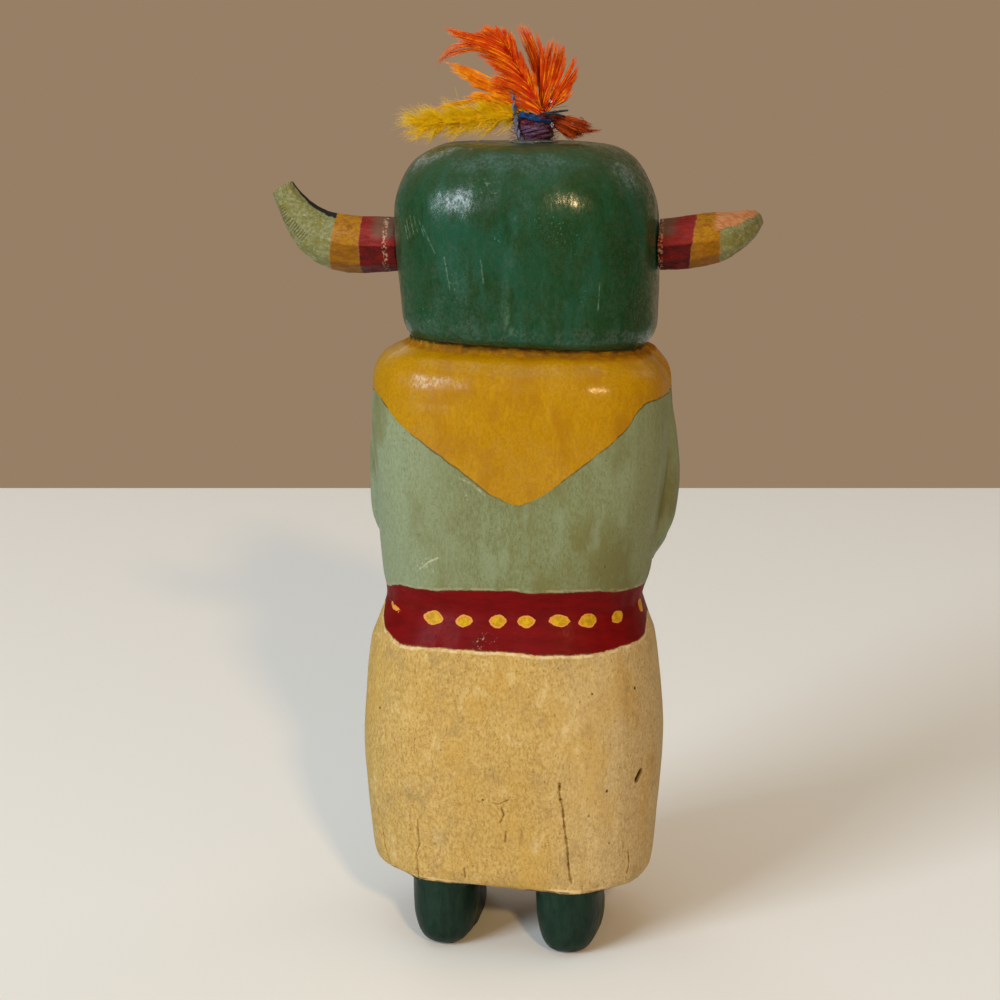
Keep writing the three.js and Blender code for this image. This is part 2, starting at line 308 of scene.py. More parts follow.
def middle_at(z):
    """Where the leaning middle of the figure is along X, in mm."""
    return (
        0.2
        - 2.2 * ease(z, BELT_FOOT, (BELT_TOP + NECK) / 2)
        - 1.5 * ease(z, NECK - 4, NECK + 2)
        + 1.2 * ease(z, NECK, CROWN)
    )


def slope_at(x, z):
    """How much the hem and the neck are raised at x, because they slope."""
    hem = 1 - ease(z, HEM, HEM + 25)
    neck = ease(z, NECK - 12, NECK) * (1 - ease(z, NECK, NECK + 25))
    return x * (0.035 * hem + 0.04 * neck)


def angles_of(points):
    """Degrees round the axis from the middle of the back, + towards +X."""
    x = points[:, 0] - middle_at(points[:, 2])
    return np.degrees(np.arctan2(x, points[:, 1]))


def skin_of(piece):
    return BVHTree.FromObject(piece, bpy.context.evaluated_depsgraph_get())


def on_skin(skin, angle, height):
    """The point of the skin, in mm, that a ray from outside the doll hits."""
    turned = math.radians(angle)
    out = Vector((math.sin(turned), math.cos(turned), 0))
    axis = Vector((middle_at(height) * MM, 0, height * MM))
    spot = skin.ray_cast(axis + out * OUTSIDE, -out)[0]
    return np.array(spot) / MM


def draped(skin, corners, step=0.8):
    """A line through (angle, height) corners, laid on the skin, in mm."""
    line = []
    for (a0, z0), (a1, z1) in zip(corners, corners[1:]):
        length = math.hypot((a1 - a0) * MM_PER_DEGREE, z1 - z0)
        pieces = max(1, round(length / step))
        for i in range(pieces):
            t = i / pieces
            line.append(on_skin(skin, a0 + (a1 - a0) * t, z0 + (z1 - z0) * t))
    line.append(on_skin(skin, *corners[-1]))
    return np.array(line)


# The cape rounds over sharply under the mask, so the skin is filled out there.
z = points_of(figure)[:, 2]
under_mask = ease(z, NECK - 13, NECK - 6) * ease(z, NECK - 1, NECK - 4)
press(figure, "fuller_shoulders", -1.3 * under_mask)

figure_skin = skin_of(figure)
print("mid back of the belt, mm:", on_skin(figure_skin, 0, 81).round(1))

# %% [markdown]
# ## Pressing lines into the wood
#
# Cottonwood dries and splits along the grain, mostly up from the hem, and a
# knot left a small dark hole. The skin near each mark is divided more
# finely, so that a crack half a millimetre wide can be real shape. Then a
# Displace modifier, weighted by a vertex group, pushes the skin inwards.

# %% Tools for lines and pits
def distance_to(points, line):
    """How far each point is from a line of points, in mm."""
    if len(line) == 1:
        return np.linalg.norm(points - line[0], axis=1)
    nearest = np.full(len(points), 1e3)
    low, high = line.min(0) - 9, line.max(0) + 9
    near = np.flatnonzero(((points > low) & (points < high)).all(1))
    chosen = points[near]
    for start, end in zip(line, line[1:]):
        along = end - start
        length = max(along @ along, 1e-9)
        t = np.clip((chosen - start) @ along / length, 0, 1)
        gap = np.linalg.norm(chosen - start - t[:, None] * along, axis=1)
        nearest[near] = np.minimum(nearest[near], gap)
    return nearest


def divide_near(piece, wanted):
    """Divides the faces that have a wanted point."""
    select_only(piece)
    piece.data.vertices.foreach_set("select", wanted)
    chosen = [any(wanted[v] for v in f.vertices) for f in piece.data.polygons]
    piece.data.polygons.foreach_set("select", chosen)
    bpy.ops.object.mode_set(mode="EDIT")
    bpy.ops.mesh.select_mode(type="FACE")
    bpy.ops.mesh.subdivide(number_cuts=1)
    bpy.ops.mesh.select_all(action="DESELECT")  # or the next call divides these too
    bpy.ops.object.mode_set(mode="OBJECT")


# %% Cut round the arms
# Each arm runs down the side and round to a fist: (out, forward, up) places
# along its middle, and half its width in mm.
ARM_CUT = 1.15  # the knife cut runs just outside the arm's edge
ARM = [
    ([(28.5, -0.8, 135), (32.2, 0, 120), (32.6, 0.6, 109), (31, 1.6, 98)], 6.0),
    ([(30.6, 3, 99.2), (27, 14, 99.8), (18, 22.6, 102.2), (7.5, 25.8, 105)], 4.9),
]


def arm_share():
    """How far each point is from the middle of an arm, where 1 is its edge."""
    points = points_of(figure)
    shares = []
    for path, half in ARM:
        for side in (-1, 1):
            line = np.array([(side * o + middle_at(u), -f, u) for o, f, u in path])
            shares.append(distance_to(points, line) / half)
    return np.min(shares, axis=0), points[:, 1]


share, _ = arm_share()
divide_near(figure, np.abs(share - 1.12) < 0.3)
share, forward = arm_share()
press(figure, "forearms", -1.3 * ease(share, 1.12, 0.85) * ease(forward, -1, -10))
share, _ = arm_share()
press(figure, "arm_cuts", 0.8 * ease(np.abs(share - ARM_CUT), 0.22, 0.03))
figure_skin = skin_of(figure)
print("points on the arms:", int((share < 1).sum()))

# %% The cracks, pits and chips that the doll has
# Each crack: half width and depth in mm, then its (angle, height) corners.
CRACKS = [
    (0.24, 0.5, (-27.7, 44.6), (-27.7, 41.9), (-28.2, 40.6), (-29.3, 38.6), (-29.7, 35.7),
     (-30.7, 31.6), (-31.8, 28.1), (-32.2, 25.1), (-33, 21.8), (-33.8, 19.6)),
    (0.15, 0.35, (37.5, 33.5), (37.9, 30.4), (37.9, 27.1), (39.6, 24.9), (39.5, 22.6),
     (39.8, 19.7), (40.4, 17.8)),
    (0.2, 0.45, (58.1, 30), (57.5, 27.6), (57.1, 24.3), (55.7, 21.8), (54.6, 19.6)),
    (0.2, 0.3, (-1.1, 38.7), (-2.5, 36.5), (-0.6, 34.5)),
    (0.16, 0.2, (3.2, 39.4), (0, 39.2), (-4.5, 40.3)),
    (0.2, 0.28, (-3.5, 32.3), (-3, 29.7)),
    (0.2, 0.28, (17.7, 22.5), (17.4, 20)),
    (0.18, 0.25, (-57.6, 26.1), (-58.7, 22.9), (-58.2, 20.2)),
    (0.25, 0.5, (152, 48), (153, 39), (151.5, 30), (152.6, 19)),
    (0.18, 0.3, (101, 60), (102, 47), (100.6, 36)),
]
KNOT = [(-62.6, 45), (-61.2, 44.2), (-60.2, 43.4)]
# Each pit: angle, height, half width in mm.
PITS = [
    (56.2, 58.8, 0.4), (-60.1, 65.5, 0.42), (-46.2, 42.2, 0.38), (-40.9, 65.7, 0.28),
    (-75.1, 55.4, 0.4), (7.6, 40, 0.3), (-27.7, 43.8, 0.36), (-28.2, 40.6, 0.34),
    (-39.6, 36.4, 0.25), (-48.5, 29, 0.25), (128, 52, 0.4), (-142, 34, 0.4),
]
# Each hem chip: angle, height, half width and depth in mm.
CHIPS = [
    (33.7, 18.6, 0.9, 0.4), (21.3, 18, 0.7, 0.5), (-45.9, 17.4, 1.1, 0.5),
    (-20.7, 17.8, 0.7, 0.35), (8, 17.6, 0.7, 0.35), (-8, 17.2, 0.6, 0.3), (52, 18.6, 0.9, 0.45),
    (-63, 17.4, 0.8, 0.4), (140, 18, 1, 0.5),
]
# Pale scratches and one run of paint: half width, (angle, height) corners.
SCRATCHES = [
    (0.17, (53, 173.2), (50.8, 169.6)), (0.15, (50.3, 174.4), (48.1, 170.4)),
    (0.19, (47.5, 174), (45.8, 170.8)), (0.14, (44.8, 173.6), (42.4, 170.2)),
    (0.14, (43, 172.4), (37.4, 166.4)), (0.26, (54.2, 171.9), (52.7, 169.2)),
    (0.2, (42.1, 93.5), (36.9, 95.6), (32.1, 96.8)),
    (0.12, (22.9, 115.8), (17.8, 114.6), (11.7, 112.1)), (0.1, (21.1, 113.4), (19.5, 110.6)),
    (0.12, (16.1, 165), (15.4, 160)), (0.12, (-39.1, 160), (-38.3, 154)),
    (0.13, (33, 165.5), (31.4, 158.5)),
]
PAINT_RUN = [
    (-2.4, 174.5), (-1.8, 170.2), (0.8, 165), (3.4, 160.8), (4.5, 154), (4.2, 150.9), (2, 149),
    (0.4, 148.4),
]
# Rubbed places, thick with pale specks: angle, height, half width in mm.
SCUFFS = [
    (-21, 172.4, 5.2), (-28, 169.6, 4.2), (-13, 174.6, 3), (7.6, 170.2, 2.4), (49, 171.6, 2.6),
    (14, 180.5, 5), (-4, 149, 1), (-33, 157, 2.6), (30, 160, 3.4), (44, 152, 3.6),
    (40, 94.5, 4), (8, 76.5, 3.5),
]

crack_lines = [draped(figure_skin, corners) for _, _, *corners in CRACKS]
knot_line = draped(figure_skin, KNOT, 0.4)
scratch_lines = [draped(figure_skin, corners, 0.6) for _, *corners in SCRATCHES]
run_line = draped(figure_skin, PAINT_RUN)
pit_spots, chip_spots, scuff_spots = (
    [on_skin(figure_skin, angle, height + rise)[None] for angle, height, *_ in table]
    for table, rise in ((PITS, 0), (CHIPS, 0.5), (SCUFFS, 0))
)
print("marks:", len(crack_lines) + len(pit_spots) + len(chip_spots) + 1)

# %% Divide the skin there and press the marks in
for reach in (1.6, 0.95):
    points = points_of(figure)
    close = distance_to(points, knot_line) < reach + 0.6
    for lines, less in ((crack_lines, 0), (scratch_lines, 0.45), (pit_spots, 0.3)):
        for line in lines:
            close |= distance_to(points, line) < reach - less
    divide_near(figure, close)

points = points_of(figure)
depths = np.zeros(len(points))
dark = np.zeros(len(points))  # how deep in a crack: 1 is the bottom
pit = np.zeros(len(points))  # the same for the pits and the knot
# A crack narrows and widens on its way down.
beat = 1 + 0.4 * np.sin(points[:, 2] * 1.9) + 0.25 * np.sin(points[:, 2] * 4.7)
for (half, depth, *_), line in zip(CRACKS, crack_lines):
    gap = distance_to(points, line)
    depths = np.maximum(depths, depth * np.clip(1 - gap / (half * 1.5 * beat), 0, 1))
    dark = np.maximum(dark, ease(gap, half * 1.5 * beat, half * 0.3))
for (_, _, half), spot in zip(PITS, pit_spots):
    gap = distance_to(points, spot)
    depths = np.maximum(depths, 0.5 * np.clip(1 - gap / half, 0, 1))
    pit = np.maximum(pit, ease(gap, half * 1.3, half * 0.4))
gap = distance_to(points, knot_line)
depths = np.maximum(depths, 1.3 * np.clip(1.4 - gap / 0.7, 0, 1))
pit = np.maximum(pit, ease(gap, 1.0, 0.55))
press(figure, "cracks", depths)

pale = np.zeros(len(points))  # 1 in a scratch, a speck or a thick run
for (half, *_), line in zip(SCRATCHES, scratch_lines):
    pale = np.maximum(pale, ease(distance_to(points, line), half * 1.5, half * 0.5))
gap = distance_to(points, run_line)
press(figure, "paint_run", -0.3 * ease(gap, 1.1, 0.1))
low_run = ease(points[:, 2], 157, 152)  # the run ends in a thick pale drop
pale = np.maximum(pale, (0.15 + 0.5 * low_run) * ease(gap, 0.75, 0.1))
scuffed = np.zeros(len(points))
for (_, _, half), spot in zip(SCUFFS, scuff_spots):
    scuffed = np.maximum(scuffed, ease(distance_to(points, spot), half, half * 0.3))

points = points_of(figure)
depths = np.zeros(len(points))
for (_, _, half, depth), spot in zip(CHIPS, chip_spots):
    depths = np.maximum(depths, depth * ease(distance_to(points, spot), half, half * 0.2))
press(figure, "hem_chips", depths)

# The soles were rubbed flat on a stone, so nothing lies below the floor.
points = points_of(figure)
points[:, 2] = np.maximum(points[:, 2], 0)
figure.data.vertices.foreach_set("co", (points * MM).ravel())
figure.data.update()
print("figure triangles:", triangles_of(figure))

# %% [markdown]
# ## Where each paint ends
#
# The paint was brushed on by hand, so its edges wander a little but are
# crisp. A colour stored at each point would blur between points. Instead
# each point stores how far it is from the edge of a paint, in millimetres,
# and the material cuts that at zero: the line is sharp, however coarse the
# skin is.

# %% Paint edges as lists of places
# Heights of the belt's edges at angles round the doll.
BELT_TOP_LINE = [
    (-180, 88.2), (-140, 88), (-110, 87.2), (-73.5, 87.8), (-58, 88.1), (-42.5, 89.2),
    (-33, 89.1), (-14, 89), (-3.6, 89.4), (17.5, 89.3), (38, 88.3), (55.6, 88.2), (73, 86),
    (90, 86.4), (120, 87.6), (150, 88.3), (180, 88.2),
]
BELT_FOOT_LINE = [
    (-180, 75.4), (-150, 75.2), (-125, 76.2), (-104, 78.4), (-92, 79.2), (-85, 78.8),
    (-80, 77.6), (-76, 76.6), (-68, 76), (-55, 75.6), (-46, 75.1), (-33, 74.9), (-20, 74.9),
    (0, 75.3), (15, 75.4), (34, 75.4), (48.6, 75.2), (56, 76.5), (62, 77.7), (68, 79.6),
    (73, 82), (84, 82.6), (96, 80.6), (112, 77.2), (140, 75.4), (180, 75.4),
]
# The cape's edge behind and in front: X, then height.
CAPE_BACK = [
    (-60, 133.6), (-35.7, 133.5), (-33.8, 133.1), (-31.8, 132.6), (-30.1, 130.6),
    (-28.7, 127.9), (-26.6, 126), (-24.5, 123.7), (-22.3, 122.2), (-17.9, 118.6),
    (-13.5, 115.2), (-11.3, 113.3), (-6.7, 110.5), (-4, 109.5), (-2.2, 109.9), (2.4, 112.1),
    (7, 115.9), (11.6, 119.3), (16.4, 122.5), (21.3, 125.9), (23.9, 127.9), (26.8, 131.1),
    (30.3, 133.8), (31.4, 133.9), (60, 134),
]
CAPE_FRONT = [
    (-60, 133.6), (-33, 133.4), (-27, 129.5), (-15, 122), (-3, 117), (9, 121), (22, 128.5),
    (31, 133.6), (60, 134),
]
# Each belt mark: angle, height, half width, half height, tilt in degrees.
BELT_DOTS = [
    (61, 82.4, 3.6, 0.55, 12), (36.1, 81.8, 2.4, 1.65, 10), (20.4, 81.7, 2, 1.45, 2),
    (2.1, 82, 2, 1.5, 0), (-13.2, 82.2, 2.1, 1.45, -2), (-30.3, 82.4, 2.5, 1.4, 2),
    (-43.4, 82.2, 2.4, 1.55, -14), (-58.4, 82, 2.2, 1.35, -20), (-80, 82.2, 1.6, 1.7, -30),
    (96, 84, 1.5, 1.1, 0), (-105, 84.6, 1.5, 1.1, 0), (125, 82, 2.1, 1.4, 8),
    (146, 81.6, 2.2, 1.4, 0), (165, 81.8, 2.2, 1.5, 4), (-176, 81.9, 2.1, 1.4, 0),
    (-157, 81.7, 2.3, 1.5, -6), (-138, 81.8, 2.1, 1.4, 3), (-121, 82.2, 1.9, 1.3, -4),
]
# Each slot of the plain mask: middle X, middle height, half width and height.
MASK_SLOTS = [(-11.5, 169, 4.6, 1.9), (11.5, 169, 4.6, 1.9), (0, 155.5, 3.4, 1.5)]


def line_height(line, at):
    return np.interp(at, *np.array(line, float).T)


def store(piece, **numbers):
    """Keeps numbers for each point on the mesh, for the material to read."""
    for name, values in numbers.items():
        layer = piece.data.attributes.new(name, "FLOAT", "POINT")
        layer.data.foreach_set("value", np.asarray(values, np.float32))


# %% Measure the distances
points = points_of(figure)
x, y, z = points.T
angle = angles_of(points)
level = z - slope_at(x, z)

cape_edge = np.where(y > 0, line_height(CAPE_BACK, x), line_height(CAPE_FRONT, x))
dot_depth = np.full(len(points), -9.0)
for turn, height, half_wide, half_high, tilt in BELT_DOTS:
    spot = on_skin(figure_skin, turn, height)
    turned, tilted = math.radians(turn), math.radians(tilt)
    across = (x - spot[0]) * math.cos(turned) - (y - spot[1]) * math.sin(turned)
    up = z - spot[2]
    wide = across * math.cos(tilted) + up * math.sin(tilted)
    high = up * math.cos(tilted) - across * math.sin(tilted)
    reach = (np.abs(wide / half_wide) ** 1.6 + np.abs(high / half_high) ** 1.6) ** (1 / 1.6)
    near = np.abs((angle - turn + 180) % 360 - 180) < 25
    depth_in = np.where(near, (1 - reach) * min(half_wide, half_high), -9)
    dot_depth = np.maximum(dot_depth, depth_in)
slot_depth = np.full(len(points), -9.0)
for x0, z0, half_wide, half_high in MASK_SLOTS:
    side = np.maximum(np.abs(x - x0 + 1.9) - half_wide + 1, 0)
    high = np.maximum(np.abs(z - z0) - half_high + 1, 0)
    slot_depth = np.maximum(slot_depth, np.where(y < -8, 1 - np.hypot(side, high), -9))

# The boots start right under the hem, where the skin steps in.
on_boot = ease(np.abs(np.abs(x) - 15), 10.4, 9.0)
store(
    figure,
    above_neck=level - NECK,
    above_cape_edge=z - cape_edge,
    above_belt_top=z - line_height(BELT_TOP_LINE, angle),
    above_belt_foot=z - line_height(BELT_FOOT_LINE, angle),
    below_hem=HEM - 0.9 + 1.35 * on_boot - level,
    hollow_mm=hollows_of(figure, 30),
    to_right_mm=-x,
    in_scuff=scuffed,
    in_belt_dot=dot_depth,
    in_mask_slot=slot_depth,
    in_arm_line=ease(np.abs(arm_share()[0] - ARM_CUT), 0.2, 0.05),
    in_crack=dark,
    in_pit=pit,
    in_scratch=pale,
)
print("stored:", [a.name for a in figure.data.attributes if a.data_type == "FLOAT"])

# %% [markdown]
# ## Paint for the figure
#
# Seven paints lie over each other in the order that they were brushed on:
# cream kilt, green boots, red belt with ochre dots, sage shirt, yellow cape
# and green mask. Each is a colour that drifts between two or three near
# tones, with its own gloss. Each paint is cut by the distances stored above,
# with a little noise added so that its edge wanders like a brush.

# %% A few short words for building materials
SOCKETS = {
    "colour": "Base Color", "rough": "Roughness", "shine": "Specular IOR Level",
    "ior": "IOR", "clear": "Transmission Weight", "coat_rough": "Coat Roughness",
}


class Value:
    """A number or colour in a material. + - * add the node that works it out."""

    def __init__(self, socket):
        self.socket = socket

    def __add__(self, other):
        return maths("ADD", self, other)

    def __sub__(self, other):
        return maths("SUBTRACT", self, other)

    def __rsub__(self, other):
        return maths("SUBTRACT", other, self)

    def __mul__(self, other):
        return maths("MULTIPLY", self, other)


def new_finish(name, **plain):
    """Starts a material. What follows adds nodes to it, until the next one."""
    global tree, shader
    finish = bpy.data.materials.new(name)
    finish.use_nodes = True
    tree = finish.node_tree
    shader = tree.nodes["Principled BSDF"]
    for word, value in plain.items():
        feed(value, SOCKETS[word])
    return finish


def feed(value, socket):
    """Links a value to a socket, or types a plain number or colour in."""
    if isinstance(socket, str):
        socket = shader.inputs[socket]
    if isinstance(value, Value):
        tree.links.new(value.socket, socket)
    else:
        socket.default_value = (*value, 1.0) if isinstance(value, tuple) else value


def add_node(kind, output, inputs, **settings):
    """Adds a node, sets it up, feeds its inputs and gives one output."""
    step = tree.nodes.new("ShaderNode" + kind)
    for word, setting in settings.items():
        setattr(step, word, setting)
    for word, value in inputs.items():
        feed(value, step.inputs[word])
    return Value(step.outputs[output])


def maths(operation, *values):
    return add_node("Math", 0, dict(enumerate(values)), operation=operation)


def stored(name):
    return add_node("Attribute", "Fac", {}, attribute_name=name)


def noise(size, stretch=1, detail=3, rough=0.55, shift=0.0):
    """Noise with patches of size mm, stretched along Z, or along (X, Y, Z)."""
    along = stretch if isinstance(stretch, tuple) else (1, 1, stretch)
    place = add_node("Mapping", "Vector", {
        "Vector": add_node("TexCoord", "Object", {}), "Location": [shift] * 3,
        "Scale": [1 / s for s in along]})
    return add_node("TexNoise", "Fac", {
        "Vector": place, "Scale": 1 / (size * MM), "Detail": detail, "Roughness": rough})


def between(value, low, high, to=1.0):
    """0 below low, to above high, and smooth in between."""
    return add_node("MapRange", "Result", {
        "Value": value, "From Min": low, "From Max": high, "To Max": to},
        interpolation_type="SMOOTHSTEP")


def band(value, middle, half, soft, to=1.0):
    """to where value is within half of the middle, 0 beyond."""
    return between(maths("ABSOLUTE", value - middle) * -1.0, -half - soft, -half, to)


def laid_over(under, over, share):
    """Colours or plain numbers: over where share is 1, under where it is 0."""
    colours = over.socket.type != "VALUE" if isinstance(over, Value) else isinstance(over, tuple)
    # A Mix node keeps sockets for numbers and colours side by side.
    kind, first, output = ("RGBA", 6, 2) if colours else ("FLOAT", 2, 0)
    return add_node("Mix", output, {0: share, first: under, first + 1: over}, data_type=kind)


def mottled(light, dark, size, stretch, low, high, shift):
    """Two tones that change within a millimetre, as old paint does."""
    return laid_over(light, dark, between(noise(size, stretch, 5, 0.78, shift), low, high))


def patched(colour, *patches):
    """Lays each tint over the places where a noise is high."""
    for tint, low, high, most, *cloud in patches:
        colour = laid_over(colour, tint, between(noise(*cloud), low, high, most))
    return colour


def relief(height, depth, strength):
    """Bumps of depth mm, for what is too fine to model."""
    bump = add_node("Bump", "Normal", {
        "Distance": depth * MM, "Strength": strength, "Height": height})
    feed(bump, "Normal")
    return bump


# %% The figure's paints
# Each patch: tint, where its noise starts and ends, how much, then the noise.
figure_paint = new_finish("figure_paint", shine=0.06, coat_rough=0.21)
to_right = stored("to_right_mm")

# Thin cream wash on bare wood: grain, freckles and ochre stains.
kilt = patched(
    laid_over(
        mottled((0.475, 0.33, 0.115), (0.315, 0.195, 0.053), 0.6, 1.6, 0.38, 0.64, 1.7),
        mottled((0.53, 0.43, 0.25), (0.37, 0.28, 0.135), 0.6, 1.6, 0.38, 0.64, 8.7),
        between(to_right, 6, 34, 0.8),
    ),
    ((0.42, 0.255, 0.05), 0.45, 0.66, 0.45, 14, 1.7, 4),
    ((0.58, 0.45, 0.22), 0.54, 0.70, 0.5, 5, 1.6, 4, 0.7, 3.1),
    ((0.26, 0.18, 0.075), 0.51, 0.68, 0.55, 7, 1.2, 6, 0.78, 6.3),
    ((0.25, 0.14, 0.03), 0.59, 0.72, 0.5, 0.7, 8, 3, 0.6, 1.7),
    ((0.165, 0.088, 0.02), 0.59, 0.67, 0.75, 0.45, 1.5, 3, 0.75, 5.3),
    ((0.10, 0.05, 0.013), 0.67, 0.72, 0.75, 0.85, 1.4, 3, 0.7, 7.9),
)
# Nearly black green, strokes running down.
boots = patched(
    mottled((0.0095, 0.026, 0.0165), (0.0058, 0.0175, 0.0115), 1.8, 5, 0.40, 0.62, 0.0),
    ((0.03, 0.045, 0.033), 0.68, 0.76, 0.4, 0.8, 2, 3, 0.7, 3.0),
)
# Deep red, with faint strokes along the belt, and its worn ochre dots.
belt = patched(
    mottled((0.135, 0.0016, 0.002), (0.10, 0.0012, 0.0014), 2.5, (4, 4, 1), 0.40, 0.62, 1.1),
    ((0.20, 0.03, 0.026), 0.66, 0.78, 0.35, 0.8, (5, 5, 1), 3, 0.6, 3.7),
    ((0.045, 0.002, 0.002), 0.66, 0.73, 0.5, 0.8, 1, 3, 0.7, 6.2),
)
dots = laid_over(
    (0.56, 0.23, 0.05),
    mottled((0.50, 0.29, 0.008), (0.33, 0.185, 0.004), 1.2, 1, 0.4, 0.6, 4.0),
    between(stored("in_belt_dot"), 0.16, 0.36),
)
# Sage over dirt, paler at the sides, partly as painted light: streaks down the grain, olive
# freckles.
shirt = mottled((0.175, 0.205, 0.105), (0.125, 0.138, 0.055), 0.5, 2.4, 0.36, 0.66, 2.2)
paler = mottled((0.235, 0.295, 0.185), (0.165, 0.20, 0.115), 0.5, 2.4, 0.36, 0.66, 4.2)
# Paler towards +X, where the window's light and sheen fall, and a little paler towards -X:
# partly pale dry-brushed paint, partly painted light.
shirt = laid_over(shirt, paler, between(to_right * -1.0, 4, 26, 0.75))
shirt = patched(
    laid_over(shirt, paler, between(to_right, 14, 34, 0.4)),
    ((0.125, 0.12, 0.036), 0.46, 0.66, 0.7, 12, 1.8, 4),
    ((0.20, 0.25, 0.155), 0.52, 0.70, 0.5, 5, 3, 4, 0.6, 5.9),
    ((0.24, 0.285, 0.17), 0.60, 0.74, 0.5, 0.6, 9, 4, 0.65, 2.9),
    ((0.075, 0.072, 0.025), 0.61, 0.69, 0.65, 0.42, 1.6, 3, 0.75, 4.4),
    ((0.04, 0.034, 0.011), 0.68, 0.73, 0.8, 0.8, (1.2, 1, 1), 3, 0.7, 9.1),
)
# Glossy ochre, rubbed brown in small patches.
cape = patched(
    mottled((0.365, 0.19, 0.0002), (0.295, 0.143, 0.0002), 0.6, 1.5, 0.36, 0.66, 6.0),
    ((0.285, 0.125, 0.0002), 0.46, 0.68, 0.7, 9, 1.4, 4),
    ((0.42, 0.225, 0.0003), 0.56, 0.74, 0.5, 2.4, 3, 3, 0.6, 8.3),
    ((0.20, 0.072, 0.001), 0.64, 0.71, 0.6, 0.5, (1.3, 1, 1), 3, 0.72, 3.3),
    ((0.22, 0.080, 0.001), 0.63, 0.71, 0.45, 2.6, 1, 5, 0.8, 5.1),
)
# Dark glossy green, thicker in places, and a duller olive towards the crown.
mask = laid_over(
    patched(
        mottled((0.0075, 0.047, 0.0185), (0.006, 0.034, 0.0085), 8, 1.5, 0.40, 0.62, 0.0),
        ((0.008, 0.062, 0.035), 0.48, 0.60, 0.6, 6, 3.2, 3, 0.55, 5.3),
        ((0.018, 0.073, 0.038), 0.57, 0.74, 0.4, 1.6, 5, 4, 0.65, 4.1),
        ((0.004, 0.018, 0.008), 0.67, 0.74, 0.6, 1.2, 1.3, 3, 0.7, 2.9),
        ((0.085, 0.13, 0.08), 0.69, 0.74, 0.4, 0.5, 1.5, 3, 0.7, 7.3),
    ),
    (0.035, 0.052, 0.018),
    between(stored("above_neck"), CROWN - NECK - 12, CROWN - NECK) * 0.6,
)
print("paints mixed:", len(tree.nodes), "nodes")

# %% Lay the paints over each other
brush = (maths("MULTIPLY_ADD", noise(4.5, detail=2), 0.8, -0.4)
         + maths("MULTIPLY_ADD", noise(0.9, detail=2, shift=5.0), 0.36, -0.18))


def inside(name, soft=0.09):
    """1 where the stored distance is above zero, with a brush's wander."""
    return between(stored(name) + brush, -soft, soft)


def beside(name, middle, half, soft, to):
    """A line along an edge, middle mm above it."""
    return band(stored(name) + brush, middle, half, soft, to)


COATS = [
    # stored distance, colour, softness; then roughness and how much varnish
    ("below_hem", boots, 0.09, 0.42, 0.16),
    ("above_belt_foot", belt, 0.09, 0.52, 0.03),
    ("in_belt_dot", dots, 0.06),
    ("above_belt_top", shirt, 0.09, 0.56, 0.20),
    ("above_cape_edge", cape, 0.09, 0.45, 0.60),
    ("above_neck", mask, 0.09, 0.38, 0.95),
]
colour, gloss, varnish = kilt, 0.74, 0.0
for name, paint, soft, *shine in COATS:
    here = inside(name, soft)
    colour = laid_over(colour, paint, here)
    if shine:
        gloss = laid_over(gloss, shine[0], here)
        varnish = laid_over(varnish, shine[1], here)
print("coats:", [c[0] for c in COATS])

# %% Worn edges, painted shade and highlights, cracks and scratches over the paint
broken = between(noise(5, shift=2.0), 0.38, 0.55)
patchy = between(noise(2.2, shift=9.0), 0.35, 0.6)
EDGES = [
    # stored distance, middle, half width, softness, strength, colour
    # The belt's edges: pale lines on the ridges, partly worn paint and partly painted highlight,
    # and dark lines of painted shade in the cuts.
    ("above_belt_foot", -0.5, 0.2, 0.3, 0.55, (0.68, 0.53, 0.32)),
    ("above_belt_foot", 0.0, 0.1, 0.2, 0.7, (0.09, 0.03, 0.012)),
    ("above_belt_top", 0.4, 0.15, 0.25, 0.45, (0.42, 0.30, 0.19)),
    ("above_belt_top", -0.05, 0.08, 0.2, 0.6, (0.06, 0.02, 0.012)),
    # The neck: a brown band on the cape, then dark lines of painted shadow under the mask's
    # edge.
    ("above_neck", -0.9, 0.5, 1.1, 0.85, (0.23, 0.085, 0.003)),
    ("above_neck", -0.25, 0.1, 0.3, 0.7, (0.045, 0.03, 0.006)),
    ("above_neck", 0.15, 0.2, 0.35, 0.8, (0.006, 0.012, 0.006)),
]
for name, middle, half, soft, strength, tint in EDGES:
    colour = laid_over(colour, tint, beside(name, middle, half, soft, strength) * patchy)
rubbed = laid_over((0.42, 0.44, 0.30), (0.10, 0.175, 0.11), inside("above_neck"))
below_hem, crack, pit_depth = (stored(n) for n in ("below_hem", "in_crack", "in_pit"))
slot = between(stored("in_mask_slot"), -0.12, 0.12)
in_hollow = between(stored("hollow_mm"), 0.2, 1.2, 0.5)
